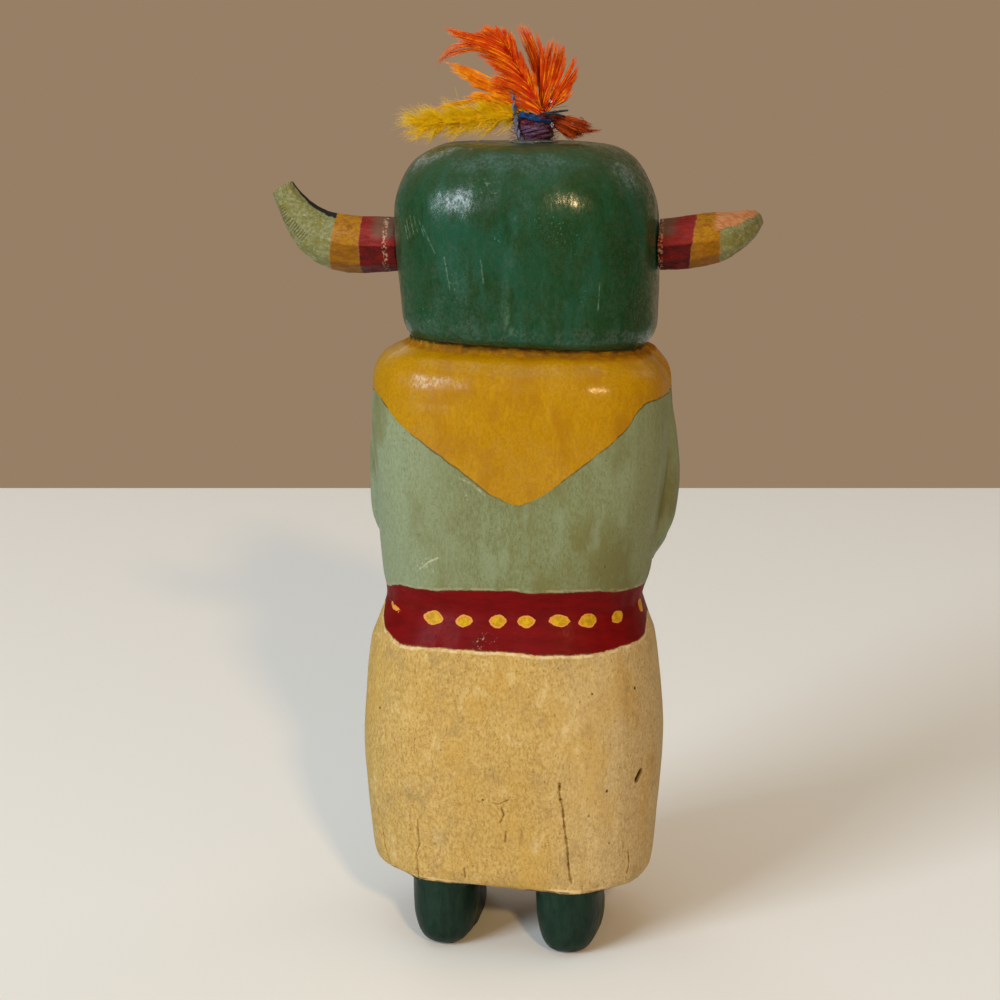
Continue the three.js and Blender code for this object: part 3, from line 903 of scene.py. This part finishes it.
MARKS = [
    # Painted shade in the cut round the arms, the cape's dark edge, the slots,
    # and along the hem's edge a pale line and a line of painted shade.
    ((0.055, 0.05, 0.018),
     stored("in_arm_line") * ((1.0 - inside("above_cape_edge")) * patchy) * 0.4),
    ((0.05, 0.04, 0.01), beside("above_cape_edge", 0.0, 0.1, 0.2, 0.75) * broken),
    ((0.012, 0.010, 0.009), slot),
    ((0.70, 0.56, 0.33), band(below_hem, -0.5, 0.2, 0.35, 0.4) * broken),
    ((0.11, 0.05, 0.015), band(below_hem, -0.15, 0.1, 0.25, 0.8) * patchy),
    # Painted shade in the hollows, then scratches and specks.
    ((0.05, 0.035, 0.012), in_hollow * between(noise(2, detail=4, rough=0.7), 0.35, 0.6)),
    (rubbed, stored("in_scratch") * between(noise(1.1, 1, 4, 0.7, 7.0), 0.36, 0.6) * 0.75),
    (rubbed, between(noise(0.55, 1.3, 3, 0.6, 6.6), 0.60, 0.66, 0.6) * stored("in_scuff")),
    # Bare wood in a crack, with painted shade deep inside it, and the pits,
    # with painted shade at their bottoms.
    ((0.21, 0.115, 0.026), between(crack, 0.1, 0.7, 0.7)),
    ((0.10, 0.05, 0.012),
     between(crack, 0.6, 1.0) * between(noise(2.4, shift=4.0), 0.42, 0.6) * 0.8),
    ((0.13, 0.07, 0.016), between(pit_depth, 0.05, 0.5, 0.6)),
    ((0.042, 0.023, 0.007), between(pit_depth, 0.55, 0.95, 0.9)),
]
for tint, share in MARKS:
    colour = laid_over(colour, tint, share)
feed(colour, "Base Color")

# %% Gloss, varnish and relief
dirty_neck = beside("above_neck", -0.7, 0.8, 0.6, 1.0)
gloss = laid_over(gloss, 0.85, between(crack, 0.1, 0.6))
gloss = laid_over(gloss, 0.8, dirty_neck)
feed(gloss + between(noise(3, detail=4, shift=1.0), 0.45, 0.75) * 0.14, "Roughness")
# Dull spots and patches break the varnish up, and dirt dulls it at the neck.
for size, low, high, most, shift in ((0.7, 0.42, 0.60, 0.75, 2.4), (3.6, 0.44, 0.60, 0.6, 3.4)):
    varnish = varnish * (1.0 - between(noise(size, 1.4, 4, 0.75, shift), low, high, most))
feed(varnish * (1.0 - maths("MAXIMUM", slot, dirty_neck)), "Coat Weight")

rough_wood = 1.0 - inside("above_belt_foot")
brushed = maths("MULTIPLY_ADD", noise(0.7, 1.5, 4, 0.7, 2.0), 0.6, noise(1.5, 5, 3, 0.55, 6.6))
height = laid_over(brushed, noise(1.3, 8, 4, 0.6, 1.7), rough_wood)
feed(relief(height, 0.1, laid_over(0.45, 0.8, rough_wood)), "Coat Normal")

figure.data.materials.append(figure_paint)
select_only(figure)
bpy.ops.object.shade_smooth()
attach(figure, "root")
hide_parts("carved_figure")
print("figure paint has", len(tree.nodes), "nodes")

# %% [markdown]
# ## Horns
#
# Each horn is whittled on its own and glued into the head. Three paints
# cross it: red at the head, yellow ochre, then a mottled olive, and the side
# that faces front is black towards the tip. The copy gets a finer skin than
# the figure, and it is smoothed less, so that the knife's flats stay.

# %% Horns
# The middle of each horn in mm from where it leaves the head: out, forward, up.
HORN, HORN_ROOT = 166.4, 26.4
TOOL_WAVES = 9.5  # radians of a wave in each mm: a cut every 0.66 mm
UPTURNED = [(0, 0, -0.2), (8, 0, -0.2), (16.5, 0, -0.1), (22.9, 0, 2), (28.4, 0, 7),
            (32, 0, 13)]
FORWARD = [(0, 0, 0.4), (8, 0, 0.8), (13.5, 0.6, 1.6), (18.5, 3, 2.8), (22.5, 7.4, 4.2),
           (25, 13, 5.4)]


def horn(node, name, middle, bend):
    """A horn to paint. bend is the side, as (X, Y, Z), that it curves towards."""
    piece = copy_of(node, name)
    fine_skin(piece, 0.36, 3)
    uneven(piece, name + "_cuts", 5, 0.5, (2.5, 1, 1))
    uneven(piece, name + "_nicks", 1.4, 0.14, (2.0, 1, 1))
    points = points_of(piece)
    side = 1 if points[:, 0].mean() > 0 else -1
    root = np.array([middle_at(HORN) + side * HORN_ROOT, 0, HORN])
    line = np.array([root + (side * o, -f, u) for o, f, u in middle])
    steps = np.concatenate([
        start + (end - start) * np.linspace(0, 1, 12, False)[:, None]
        for start, end in zip(line, line[1:])
    ])
    nearest = np.linalg.norm(points[:, None] - steps, axis=2).argmin(1)
    gone = np.r_[0, np.linalg.norm(np.diff(steps, axis=0), axis=1).cumsum()]
    off = points - steps[nearest]
    tangent = np.gradient(steps, axis=0)
    tangent /= np.linalg.norm(tangent, axis=1)[:, None]
    store(
        piece,
        along_mm=gone[nearest] + (off * tangent[nearest]).sum(1),
        out_mm=np.abs(points[:, 0]),
        hollow_mm=off @ (np.array(bend, float) / np.linalg.norm(bend)),
        front_mm=-off[:, 1],
        up_mm=off[:, 2],
    )
    print(name, "root at", root.round(1), "points", len(points))
    return piece


def horn_finish(name, red_end, yellow_end, black_from, bare_from, bare_to, glue_at, tools):
    """Bands end at (out at mid height, slant); black and bare lie past them."""
    finish = new_finish(name, shine=0.15)
    brush = maths("MULTIPLY_ADD", noise(1.6), 1.1, -0.55)
    out, up, along, hollow, front = (
        stored(n + "_mm") for n in ("out", "up", "along", "hollow", "front"))

    def past(end, slant):
        return between(maths("MULTIPLY_ADD", up, slant, out - end) + brush, -0.12, 0.12)

    worn = noise(1.4, (2.4, 1, 1), 4, 0.65, 3.0)
    # The flat that looks up is painted lighter than the one below it: painted light and shade on
    # the knife's flats.
    flat = between(up + brush * 0.5, -0.25, 0.2)
    red = laid_over(
        mottled((0.115, 0.002, 0.001), (0.05, 0.001, 0.001), 2.2, (2, 1, 1), 0.4, 0.6, 0.0),
        mottled((0.20, 0.011, 0.007), (0.14, 0.006, 0.004), 1.5, (2, 1, 1), 0.4, 0.6, 1.0),
        flat)
    yellow = laid_over(
        mottled((0.22, 0.092, 0.001), (0.16, 0.06, 0.001), 1.0, (3, 1, 1), 0.4, 0.6, 2.0),
        mottled((0.30, 0.138, 0.001), (0.22, 0.083, 0.001), 0.8, (1.6, 1, 1), 0.4, 0.6, 3.0),
        flat)
    yellow = patched(yellow, ((0.17, 0.05, 0.002), 0.56, 0.64, 0.7, 3.0, 1, 3, 0.6, 4.0))
    olive = patched(
        mottled((0.21, 0.215, 0.105), (0.12, 0.12, 0.035), 0.8, 1, 0.36, 0.62, 5.0),
        ((0.14, 0.125, 0.018), 0.5, 0.62, 0.7, 2.6, 1, 3, 0.6, 6.0),
        ((0.36, 0.38, 0.24), 0.62, 0.72, 0.7, 0.7, (2, 1, 1), 3, 0.7, 7.0),
        ((0.05, 0.045, 0.016), 0.63, 0.71, 0.7, 0.6, 1, 3, 0.7, 8.0))
    # Tool marks: a row of short cuts over the outside of the bend.
    waves = maths("SINE", (along + brush * 0.35) * TOOL_WAVES)
    cuts = between(waves, 0.2, 0.75, 0.85)
    row = band(along, *tools, 0.6) * band(hollow, -2.5, 0.9, 0.5)
    row = row * between(noise(1.6, detail=2), 0.3, 0.45)
    stain = 1.0 - between(out, glue_at + 1.5, glue_at + 4.5)
    stripes = between(noise(0.5, (14, 1, 1), 3, 0.6, 4.0), 0.42, 0.6)
    stripes = laid_over((0.40, 0.20, 0.09), (0.36, 0.105, 0.03), stripes)
    bare = (between(up + brush, bare_from, bare_from + 0.25)
            * between(out, bare_to, bare_to + 1.5))
    black = between(maths("MULTIPLY_ADD", hollow, 0.55, front) + brush,
                    black_from, black_from + 0.2)
    black_paint = laid_over((0.010, 0.009, 0.008), (0.05, 0.045, 0.03), between(worn, 0.6, 0.75))
    glue = band(out, glue_at, 0.35, 0.5, 0.75) * between(noise(0.6), 0.48, 0.6)
    # A thin worn line shows the wood where two paints meet.
    seams = [((0.26, 0.12, 0.04), past(end - 0.15, slant) * (1.0 - past(end + 0.1, slant)) * 0.5)
             for end, slant in (red_end, yellow_end)]
    colour = red
    for tint, share in (
        (yellow, past(*red_end)),
        (olive, past(*yellow_end)),
        *seams,
        ((0.045, 0.04, 0.016), cuts * row),
        ((0.36, 0.25, 0.13), between(worn, 0.68, 0.76, 0.6)),
        ((0.10, 0.055, 0.03), stain * between(up + brush, 1.4, 2.6) * 0.8),
        (stripes, bare),
        (black_paint, black * past(*yellow_end) * (1.0 - bare)),
        ((0.40, 0.26, 0.16), glue),
    ):
        colour = laid_over(colour, tint, share)
    feed(colour, "Base Color")
    feed(between(worn, 0.1, 0.8, 0.85), "Roughness")
    relief(worn, 0.14, 0.7)
    return finish


HORNS = [
    # node, name, middle, bend; then where red and yellow end, black and bare
    # begin, how far out the ring of glue is, and where the row of tool marks
    # is along the horn, with half its length
    ("left_horn", "upturned_horn", UPTURNED, (-0.6, 0, 1),
     (36.3, 0.0), (43.0, 0.14), 0.4, 30, 60, 30.2, (29.5, 4.2)),
    ("right_horn", "forward_horn", FORWARD, (0.9, -0.6, 0),
     (41.3, -0.13), (47.5, 0.0), 1.6, 1.9, 45.5, 33.9, (26.0, 1.2)),
]
for node, name, middle, bend, *paint in HORNS:
    piece = horn(node, name, middle, bend)
    piece.data.materials.append(horn_finish(name + "_paint", *paint))
    select_only(piece)
    bpy.ops.object.shade_smooth_by_angle(angle=math.radians(40))
    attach(piece, "root")
    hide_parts(node)
    print(name, "triangles", triangles_of(piece))

# %% [markdown]
# ## Feathers
#
# A dyed craft feather is a thin quill with hundreds of fine barbs, which
# cling together in locks and end in ragged points. A flat sheet would show
# none of that. Here a few guide barbs are given for each feather.
# Hundreds of barbs are then drawn as curves between neighbouring guides,
# pulled together into locks, and turned into a mesh of fine tubes.

# %% Draw barbs between guides
TUFT = np.array((-4.5, 1.0, 190.0))  # the middle of the tuft, on the crown
BARB_POINTS = 8
WISP_BARBS = 16
ALONG = np.linspace(0, 1, BARB_POINTS)
TAPER = np.array([1, 1, 0.95, 0.88, 0.78, 0.62, 0.42, 0.12])
FRONT_IS_MINUS_Y = (1, -1, 1)


def bent(root, middle, tip):
    """Points of a smooth curve that starts at root and bends by middle."""
    t = ALONG[:, None]
    return (1 - t) ** 2 * root + 2 * t * (1 - t) * middle + t ** 2 * tip


def normal_draws(rng, loft=1):
    return np.array([rng.gauss(0, 1), rng.gauss(0, loft), rng.gauss(0, 1)])


def barbs_of(guides, count, seed, lock, spread, curl, ragged, cling, loft):
    """Barbs between (root, middle, tip) guides, as arrays of points in mm."""
    rng = random.Random(seed)
    guides = np.array(guides, float) * FRONT_IS_MINUS_Y
    barbs = []
    for i in range(count):
        place = (i + rng.random()) / count * (len(guides) - 1)
        held = (math.floor(place * lock) + 0.5) / lock  # the middle of its lock
        held = min(held, len(guides) - 1.001)
        low, high = int(place), int(held)
        own = guides[low] + (guides[low + 1] - guides[low]) * (place - low)
        shared = guides[high] + (guides[high + 1] - guides[high]) * (held - high)
        lock_rng = random.Random(seed * 1000 + int(place * lock))
        shift = np.array([lock_rng.gauss(0, 0.5) for _ in range(3)]) * spread
        shift[1] *= loft  # a feather is fluffier through than across
        root, middle, tip = own
        held_by = cling * (0.5 + 0.5 * lock_rng.random())
        middle = middle + (shared[1] - middle) * held_by * 0.5 + shift * 0.6
        tip = tip + (shared[2] - tip) * held_by + shift
        root = root + normal_draws(rng, loft) * 0.16 * spread
        middle = middle + normal_draws(rng, loft) * 0.42 * spread
        tip = tip + normal_draws(rng, loft) * 0.5 * spread
        tip = middle + (tip - middle) * (1 - ragged * rng.random() ** 2)
        line = bent(root, middle, tip)
        turn = rng.random() * math.tau
        for axis, phase in enumerate((0.0, 1.6, 3.1)):
            wag = np.sin(np.linspace(0, 5 + 4 * rng.random(), BARB_POINTS) + turn + phase)
            line[:, axis] += ALONG ** 1.3 * curl * wag * rng.gauss(0, 0.5)
        barbs.append(line)
    return barbs


def mesh_of_curves(name, lines, radii):
    """Turns lines of mm points into one mesh of fine closed tubes."""
    curve = bpy.data.curves.new(name, "CURVE")
    curve.dimensions = "3D"
    curve.bevel_depth = MM
    curve.bevel_resolution = 0
    for line, radius in zip(lines, radii):
        spline = curve.splines.new("POLY")
        spline.points.add(len(line) - 1)
        corners = np.c_[(line + TUFT) * MM, np.ones(len(line))]
        spline.points.foreach_set("co", corners.ravel())
        spline.points.foreach_set("radius", radius)
    piece = bpy.data.objects.new(name, curve)
    bpy.context.scene.collection.objects.link(piece)
    select_only(piece)
    bpy.ops.object.convert(target="MESH")
    piece = bpy.context.object
    piece.data.name = name
    bpy.ops.object.mode_set(mode="EDIT")
    bpy.ops.mesh.select_mode(type="EDGE")
    bpy.ops.mesh.select_all(action="DESELECT")
    bpy.ops.mesh.select_non_manifold()
    bpy.ops.mesh.fill_holes(sides=8)
    bpy.ops.mesh.select_all(action="SELECT")
    bpy.ops.mesh.normals_make_consistent(inside=False)
    bpy.ops.object.mode_set(mode="OBJECT")
    return piece


def feather(name, guides, quill, thick, count, seed, barb=0.075, lock=5, spread=0.6,
            curl=0.25, ragged=0.35, cling=0.9, loft=2.0, yellowed=0.0, wisps=()):
    """A feather of curves. quill is its (root, middle, tip), thick its radius."""
    lines = barbs_of(guides, count, seed, lock, spread, curl, ragged, cling, loft)
    for i, wisp in enumerate(wisps):
        lines += barbs_of([wisp, wisp], WISP_BARBS, seed + 50 + i, 1, 0.55, 0.4, 0.5, 0.5, 1.0)
    rng = random.Random(seed + 7)
    radii = [barb * (0.75 + 0.5 * rng.random()) * TAPER for _ in lines]
    lines.append(bent(*quill * FRONT_IS_MINUS_Y))
    radii.append(thick * np.linspace(1, 0.25, BARB_POINTS))
    piece = mesh_of_curves(name, lines, radii)
    each = len(piece.data.vertices) // len(lines)
    tones = [yellowed + (1 - yellowed) * rng.random() for _ in lines[:-1]]
    tones.append(2.0)  # 2 marks the quill
    store(
        piece,
        along_barb=np.tile(np.repeat(ALONG, each // BARB_POINTS), len(lines)),
        barb_tone=np.repeat(tones, each),
    )
    print(name, len(lines), "barbs,", each, "points each,", triangles_of(piece), "triangles")
    return piece


# %% Feather finishes
def feather_finish(name, deep, main, light, quill):
    """Dyed barbs: deep at the root, light in some locks, and a dark quill."""
    finish = new_finish(name + "_barbs", rough=0.55, shine=0.12)
    tone = stored("barb_tone")
    colour = laid_over(deep, main, between(stored("along_barb"), 0.05, 0.55))
    in_locks = between(tone, 0.45, 1.0) * between(noise(2.4, detail=2), 0.38, 0.6)
    colour = laid_over(colour, light, in_locks)
    feed(laid_over(colour, quill, between(tone, 1.4, 1.6)), "Base Color")
    return finish


ORANGE = feather_finish("orange_feather", (0.52, 0.018, 0.0006), (0.66, 0.062, 0.0010),
                        (0.95, 0.36, 0.004), (0.42, 0.012, 0.0008))
AMBER = feather_finish("amber_feather", (0.95, 0.34, 0.002), (0.80, 0.20, 0.0015),
                       (0.98, 0.46, 0.006), (0.45, 0.05, 0.001))
YELLOW = feather_finish("yellow_feather", (0.95, 0.42, 0.0015), (0.74, 0.47, 0.0010),
                        (0.92, 0.60, 0.003), (0.85, 0.45, 0.002))
RUST = feather_finish("rust_feather", (0.17, 0.012, 0.001), (0.32, 0.034, 0.001),
                      (0.52, 0.10, 0.003), (0.14, 0.01, 0.001))

# %% The six feathers
def tenths(*rows):
    """Guides as (root, middle, tip) in mm, from rows in tenths of a millimetre.

    Each place is out towards the doll's left, towards its front, and up from
    the middle of the tuft.
    """
    return np.reshape(rows, (-1, 3, 3)) / 10


SWEEPING = tenths(
    (-22, -24, 58, 22, -26, 88, 84, -22, 92), (-24, -28, 64, 20, -28, 100, 96, -24, 108),
    (-20, -28, 74, 26, -30, 116, 104, -26, 132), (-12, -30, 88, 32, -34, 132, 94, -28, 146),
    (-6, -32, 102, 34, -37, 150, 94, -30, 172), (3, -33, 116, 39, -39, 166, 99, -32, 184),
    (14, -34, 132, 51, -41, 181, 119, -34, 196), (28, -36, 157, 65, -42, 202, 148, -35, 218),
    (39, -36, 179, 87, -42, 220, 178, -35, 234), (51, -37, 197, 109, -42, 228, 204, -34, 258),
    (56, -37, 207, 96, -42, 234, 158, -35, 240), (58, -37, 211, 87, -42, 240, 128, -36, 244),
    (62, -38, 218, 76, -44, 244, 109, -34, 260), (58, -38, 211, 62, -44, 240, 76, -30, 264),
    (39, -36, 179, 47, -36, 210, 56, -26, 246), (14, -34, 132, 29, -33, 170, 40, -22, 214),
    (-4, -32, 104, 10, -32, 138, 20, -22, 172), (-13, -32, 86, 4, -33, 126, 13, -24, 174),
    (-18, -30, 74, -6, -31, 114, 4, -22, 156),
)
SWEEP_WISPS = tenths(
    (86, -36, 206, 186, -36, 240, 226, -30, 174), (94, -32, 200, 160, -30, 220, 218, -28, 184),
    (60, -38, 210, 84, -34, 252, 116, -30, 266),
)
PLUME = tenths(
    (-22, 20, 64, -12, 28, 115, 12, 30, 175), (-12, 22, 89, -2, 29, 180, 49, 33, 263),
    (-14, 23, 89, -9, 30, 195, 41, 32, 274), (-16, 24, 87, -13, 31, 197, 14, 30, 251),
    (-17, 25, 86, -18, 30, 179, -6, 28, 238), (-18, 25, 86, -21, 28, 145, -16, 24, 195),
)
FAN = tenths(
    (-16, -14, 66, -24, -18, 102, -38, -16, 148), (-30, -14, 66, -46, -18, 92, -64, -16, 126),
    (-15, -10, 86, -17, -13, 150, -21, -8, 214), (-17, -10, 86, -23, -14, 158, -34, -4, 236),
    (-20, -10, 86, -36, -14, 154, -48, -6, 225), (-22, -10, 86, -50, -15, 148, -66, -2, 218),
    (-24, -10, 85, -61, -15, 140, -72, -7, 200), (-26, -10, 83, -75, -15, 128, -102, -8, 176),
    (-30, -10, 81, -78, -15, 118, -93, -9, 148), (-34, -10, 78, -70, -14, 94, -84, -10, 118),
)
LOW = tenths(
    (16, -12, 66, 30, -20, 102, 66, -22, 148), (18, -12, 66, 38, -20, 100, 86, -22, 138),
    (22, -10, 64, 54, -20, 86, 114, -20, 112), (26, -6, 62, 68, -16, 68, 128, -16, 80),
    (26, 4, 68, 64, 6, 96, 118, 6, 130), (34, 9, 93, 102, 13, 142, 202, 10, 179),
    (36, 8, 90, 109, 12, 138, 194, 9, 168), (38, 7, 88, 102, 10, 122, 152, 7, 142),
    (39, 6, 83, 98, 8, 110, 142, 5, 118), (42, 4, 81, 100, 5, 98, 154, 4, 104),
    (44, 2, 68, 86, 2, 88, 126, 2, 90), (40, 4, 76, 70, 6, 124, 82, 8, 170),
)
LOW_WISPS = tenths(
    (104, 4, 102, 170, 5, 98, 244, 4, 74), (90, 5, 98, 150, 7, 96, 212, 6, 78),
    (80, 6, 134, 156, 8, 174, 208, 8, 184),
)
SHORT_RUST = tenths(
    (-36, -6, 62, -78, -14, 64, -128, -14, 44), (-38, -8, 56, -82, -22, 48, -134, -24, 28),
    (-40, -6, 46, -74, -18, 28, -104, -20, 12), (-40, 0, 40, -68, 4, 20, -86, 6, 9),
    (-38, 6, 52, -72, 14, 42, -118, 16, 24),
)
RUST_WISPS = tenths(
    (-90, -14, 36, -124, -14, 26, -158, -12, 33),
)
DOWN = []
for step in range(15):
    out = 1.6 + step * 1.62
    up = 6.9 - 0.115 * out
    reach = 4.6 + 1.6 * math.sin(step * 2.4)
    # Barbs leave the quill upwards, straight on and downwards, and cross it.
    row = [((out, depth, up - 0.8 * lift), (out + 0.4 * reach, depth - 0.7, up + 2.0 * lift),
            (out + 1.2 * reach, depth - 0.5, up + 3.4 * lift))
           for depth, lift in ((-1.8, 1), (-0.4, 0.3), (-2.0, -0.2), (-0.2, 0.6), (-1.2, -1.25))]
    DOWN += row if step % 2 else row[::-1]

FEATHERS = [
    # node, finish, slot, guides, quill, its radius, barbs, seed, settings
    ("orange_sweeping_feather", ORANGE, "orange_feather", SWEEPING,
     (-24, -28, 50, 9, -34, 136, 66, -38, 226), 0.36, 2400, 11,
     dict(lock=3, ragged=0.3, cling=0.85, wisps=SWEEP_WISPS)),
    ("orange_plume_feather", ORANGE, "orange_feather", PLUME,
     (-10, 20, 50, -9, 30, 180, 32, 32, 250), 0.16, 300, 12,
     dict(lock=2, ragged=0.5, cling=1.0, yellowed=0.1)),
    ("orange_fan_feather", ORANGE, "orange_feather", FAN,
     (-14, -9, 50, -30, -13, 135, -49, -8, 200), 0.16, 1050, 13,
     dict(lock=1.6, spread=0.55, ragged=0.5, cling=1.0, yellowed=0.15)),
    ("orange_low_feather", AMBER, "orange_feather", LOW,
     (22, 12, 50, 90, 12, 136, 196, 10, 174), 0.14, 1500, 14,
     dict(lock=3, ragged=0.6, cling=0.8, yellowed=0.5, wisps=LOW_WISPS)),
    ("yellow_down_feather", YELLOW, "yellow_feather", DOWN,
     (22, -6, 64, 120, -16, 60, 260, -14, 42), 0.12, 3300, 15,
     dict(barb=0.042, lock=3, spread=1.25, curl=1.5, ragged=0.7, cling=0.1, loft=1.2)),
    ("rust_feather", RUST, "rust_feather", SHORT_RUST,
     (-22, -4, 54, -68, -8, 56, -120, -12, 32), 0.16, 900, 16,
     dict(lock=2, spread=0.7, ragged=0.7, curl=0.5, wisps=RUST_WISPS)),
]
for node, finish, slot_name, guides, quill, thick, count, seed, settings in FEATHERS:
    name = node.replace("_feather", "_plumage")
    piece = feather(name, guides, tenths(quill)[0], thick, count, seed, **settings)
    piece.data.materials.append(finish)
    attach(piece, "root")
    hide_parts(node)

# %% [markdown]
# ## Yarn and glue
#
# The quills are bound with soft purple yarn and a turn or two of blue, and
# held by drops of clear glue. Yarn is two plies twisted round each other
# while they go round the bundle: a small helix on a large one. Loose ends and
# short fibres keep it from looking like wire.

# %% Wind the yarn
PLIES = (0, math.pi)  # two plies, half a turn apart


def wound(turns, radius, low, high, tilt=0.0, thick=0.36, seed=0, phase=0.0):
    """The two plies of a yarn that goes round the bundle, as lines of points."""
    rng = random.Random(seed)
    t = np.linspace(0, 1, max(20, round(abs(turns) * 34)))
    turn = phase + t * turns * math.tau
    swell = radius + 0.35 * np.sin(t * math.pi) + 0.16 * np.sin(turn * 1.7 + seed)
    up = low + (high - low) * t + tilt * np.cos(turn) + 0.12 * np.sin(turn * 2.3 + seed)
    lines = []
    for start in PLIES:
        twist = turn * 3.4 + start + rng.random() * 0.3
        out = swell + thick * 0.85 * np.cos(twist)
        lines.append(np.c_[out * np.cos(turn), out * np.sin(turn),
                           up + thick * 0.85 * np.sin(twist)])
    return lines


def loose_end(corners, thick, seed=0):
    """Two twisted plies along (out, front, up) corners."""
    corners = np.array(corners, float) * FRONT_IS_MINUS_Y
    t = np.linspace(0, len(corners) - 1, 12 * len(corners))
    path = np.c_[[np.interp(t, range(len(corners)), row) for row in corners.T]].T
    for _ in range(3):
        path[1:-1] = (path[:-2] + path[1:-1] * 2 + path[2:]) / 4
    twists = (t * 6 + start + seed for start in PLIES)
    return [path + thick * 0.8 * np.c_[np.cos(w), np.sin(w), 0 * t] for w in twists]


def haze(count, radius, low, high, seed):
    """Short fibres that stand off the yarn."""
    rng = random.Random(seed)
    hairs = []
    for _ in range(count):
        turn, up = rng.random() * math.tau, rng.uniform(low, high)
        out = radius + rng.uniform(-0.2, 0.4)
        root = np.array((out * math.cos(turn), out * math.sin(turn), up))
        lean = normal_draws(rng)
        away = root * (1, 1, 0) / out
        hairs.append(bent(root, root + away * 0.7 + lean * 0.4,
                          root + away * rng.uniform(0.4, 1.5) + lean * 0.8))
    return hairs


def yarn(name, plies, hairs, thick, main, shade, light):
    """Spun yarn with fibres, in a main colour with darker and lighter places."""
    radii = [np.full(len(p), thick) for p in plies] + [np.full(len(h), 0.035) for h in hairs]
    for radius in radii:
        radius[0] *= 0.4
        radius[-1] *= 0.3
    piece = mesh_of_curves(name, plies + hairs, radii)
    select_only(piece)
    bpy.ops.object.shade_smooth_by_angle(angle=math.radians(60))
    finish = new_finish(name.split("_")[0] + "_yarn", rough=0.85, shine=0.1)
    colour = laid_over(main, shade, between(noise(2.2), 0.42, 0.6))
    colour = laid_over(colour, light, between(noise(0.5, shift=3.0), 0.55, 0.72, 0.8))
    feed(colour, "Base Color")
    relief(noise(0.35), 0.12, 0.8)
    piece.data.materials.append(finish)
    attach(piece, "root")
    print(name, "triangles", triangles_of(piece))
    return piece


binding = yarn(
    "purple_binding",
    wound(5.5, 3.0, 0.9, 6.1, seed=1) + wound(5, 3.5, 5.4, 1.2, seed=4, phase=1.0),
    haze(260, 4.1, 0.6, 6.8, 21), 0.42,
    (0.085, 0.042, 0.085), (0.095, 0.012, 0.018), (0.22, 0.16, 0.27))
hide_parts("yarn_wrap")
yarn("blue_thread", wound(1.9, 4.1, 5.3, 6.0, tilt=1.25, thick=0.22, seed=7, phase=2.6),
     haze(40, 4.3, 4.6, 7.0, 22), 0.27,
     (0.008, 0.05, 0.19), (0.008, 0.02, 0.07), (0.04, 0.16, 0.42))
yarn("black_thread",
     loose_end([(-1.8, -4.4, 6.6), (-4.6, -4.0, 7.0), (-8.0, -3.6, 7.4)], 0.18)
     + loose_end([(-3.0, -4.3, 6.4), (-5.0, -3.9, 6.6), (-7.2, -3.4, 6.0)], 0.16, 1),
     haze(24, 4.4, 5.8, 7.2, 23), 0.22,
     (0.008, 0.010, 0.014), (0.02, 0.03, 0.035), (0.04, 0.05, 0.06))
yarn("grey_thread",
     loose_end([(2.6, -3.4, 0.6), (3.9, -3.4, 3.4), (4.2, -3.2, 7.0),
                (4.6, -3.0, 10.0), (5.3, -2.6, 12.6)], 0.34, 2),
     haze(70, 4.6, 6.5, 12.0, 24), 0.36,
     (0.13, 0.14, 0.22), (0.045, 0.05, 0.075), (0.28, 0.27, 0.36))

# %% Glue
BEADS = [
    # (out, front, up) from the tuft's middle, size in mm, and how it is squashed
    ((-4.0, -3.9, 9.4), 1.0, (1, 0.8, 0.8)),
    ((-10.7, -2.2, 5.3), 1.3, (1.1, 0.9, 0.8)),
    ((-4.5, -4.3, 4.2), 0.9, (0.8, 0.7, 1.2)),
    ((-9.2, -2.6, 4.4), 1.0, (1.3, 0.8, 0.7)),
    ((0.2, -0.6, 0.3), 11.5, (1, 0.9, 0.11)),
    ((1.6, -4.6, 0.1), 4.0, (1.3, 0.8, 0.16)),
]
beads = []
for place, size, squash in BEADS:
    bpy.ops.mesh.primitive_ico_sphere_add(subdivisions=4, radius=size * MM / 2)
    bead = bpy.context.object
    bead.scale = squash
    bead.location = Vector(TUFT + np.array(place) * FRONT_IS_MINUS_Y) * MM
    bpy.ops.object.transform_apply(location=True, rotation=True, scale=True)
    beads.append(bead)
for bead in beads:
    bead.select_set(True)
bpy.context.view_layer.objects.active = beads[0]
bpy.ops.object.join()
glue = bpy.context.object
glue.name = glue.data.name = "clear_glue"
uneven(glue, "glue_lumps", 1.6, 0.5, (1, 1, 1))
select_only(glue)
bpy.ops.object.shade_smooth()
glue.data.materials.append(
    new_finish("dried_glue", colour=(0.82, 0.80, 0.74), rough=0.12, ior=1.47, clear=0.92))
relief(noise(0.8, detail=2), 0.1, 0.5)
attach(glue, "root")
print("glue triangles", triangles_of(glue))

# %% [markdown]
# ## Finish
#
# The visual model has to fill the same box as the solid, so both boxes are
# written down before the frame's own checks close the script.

# %% Print the visual model's size
low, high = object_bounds()
print("visual model, mm:", [round(v / MM, 1) for v in (*low, *high)])
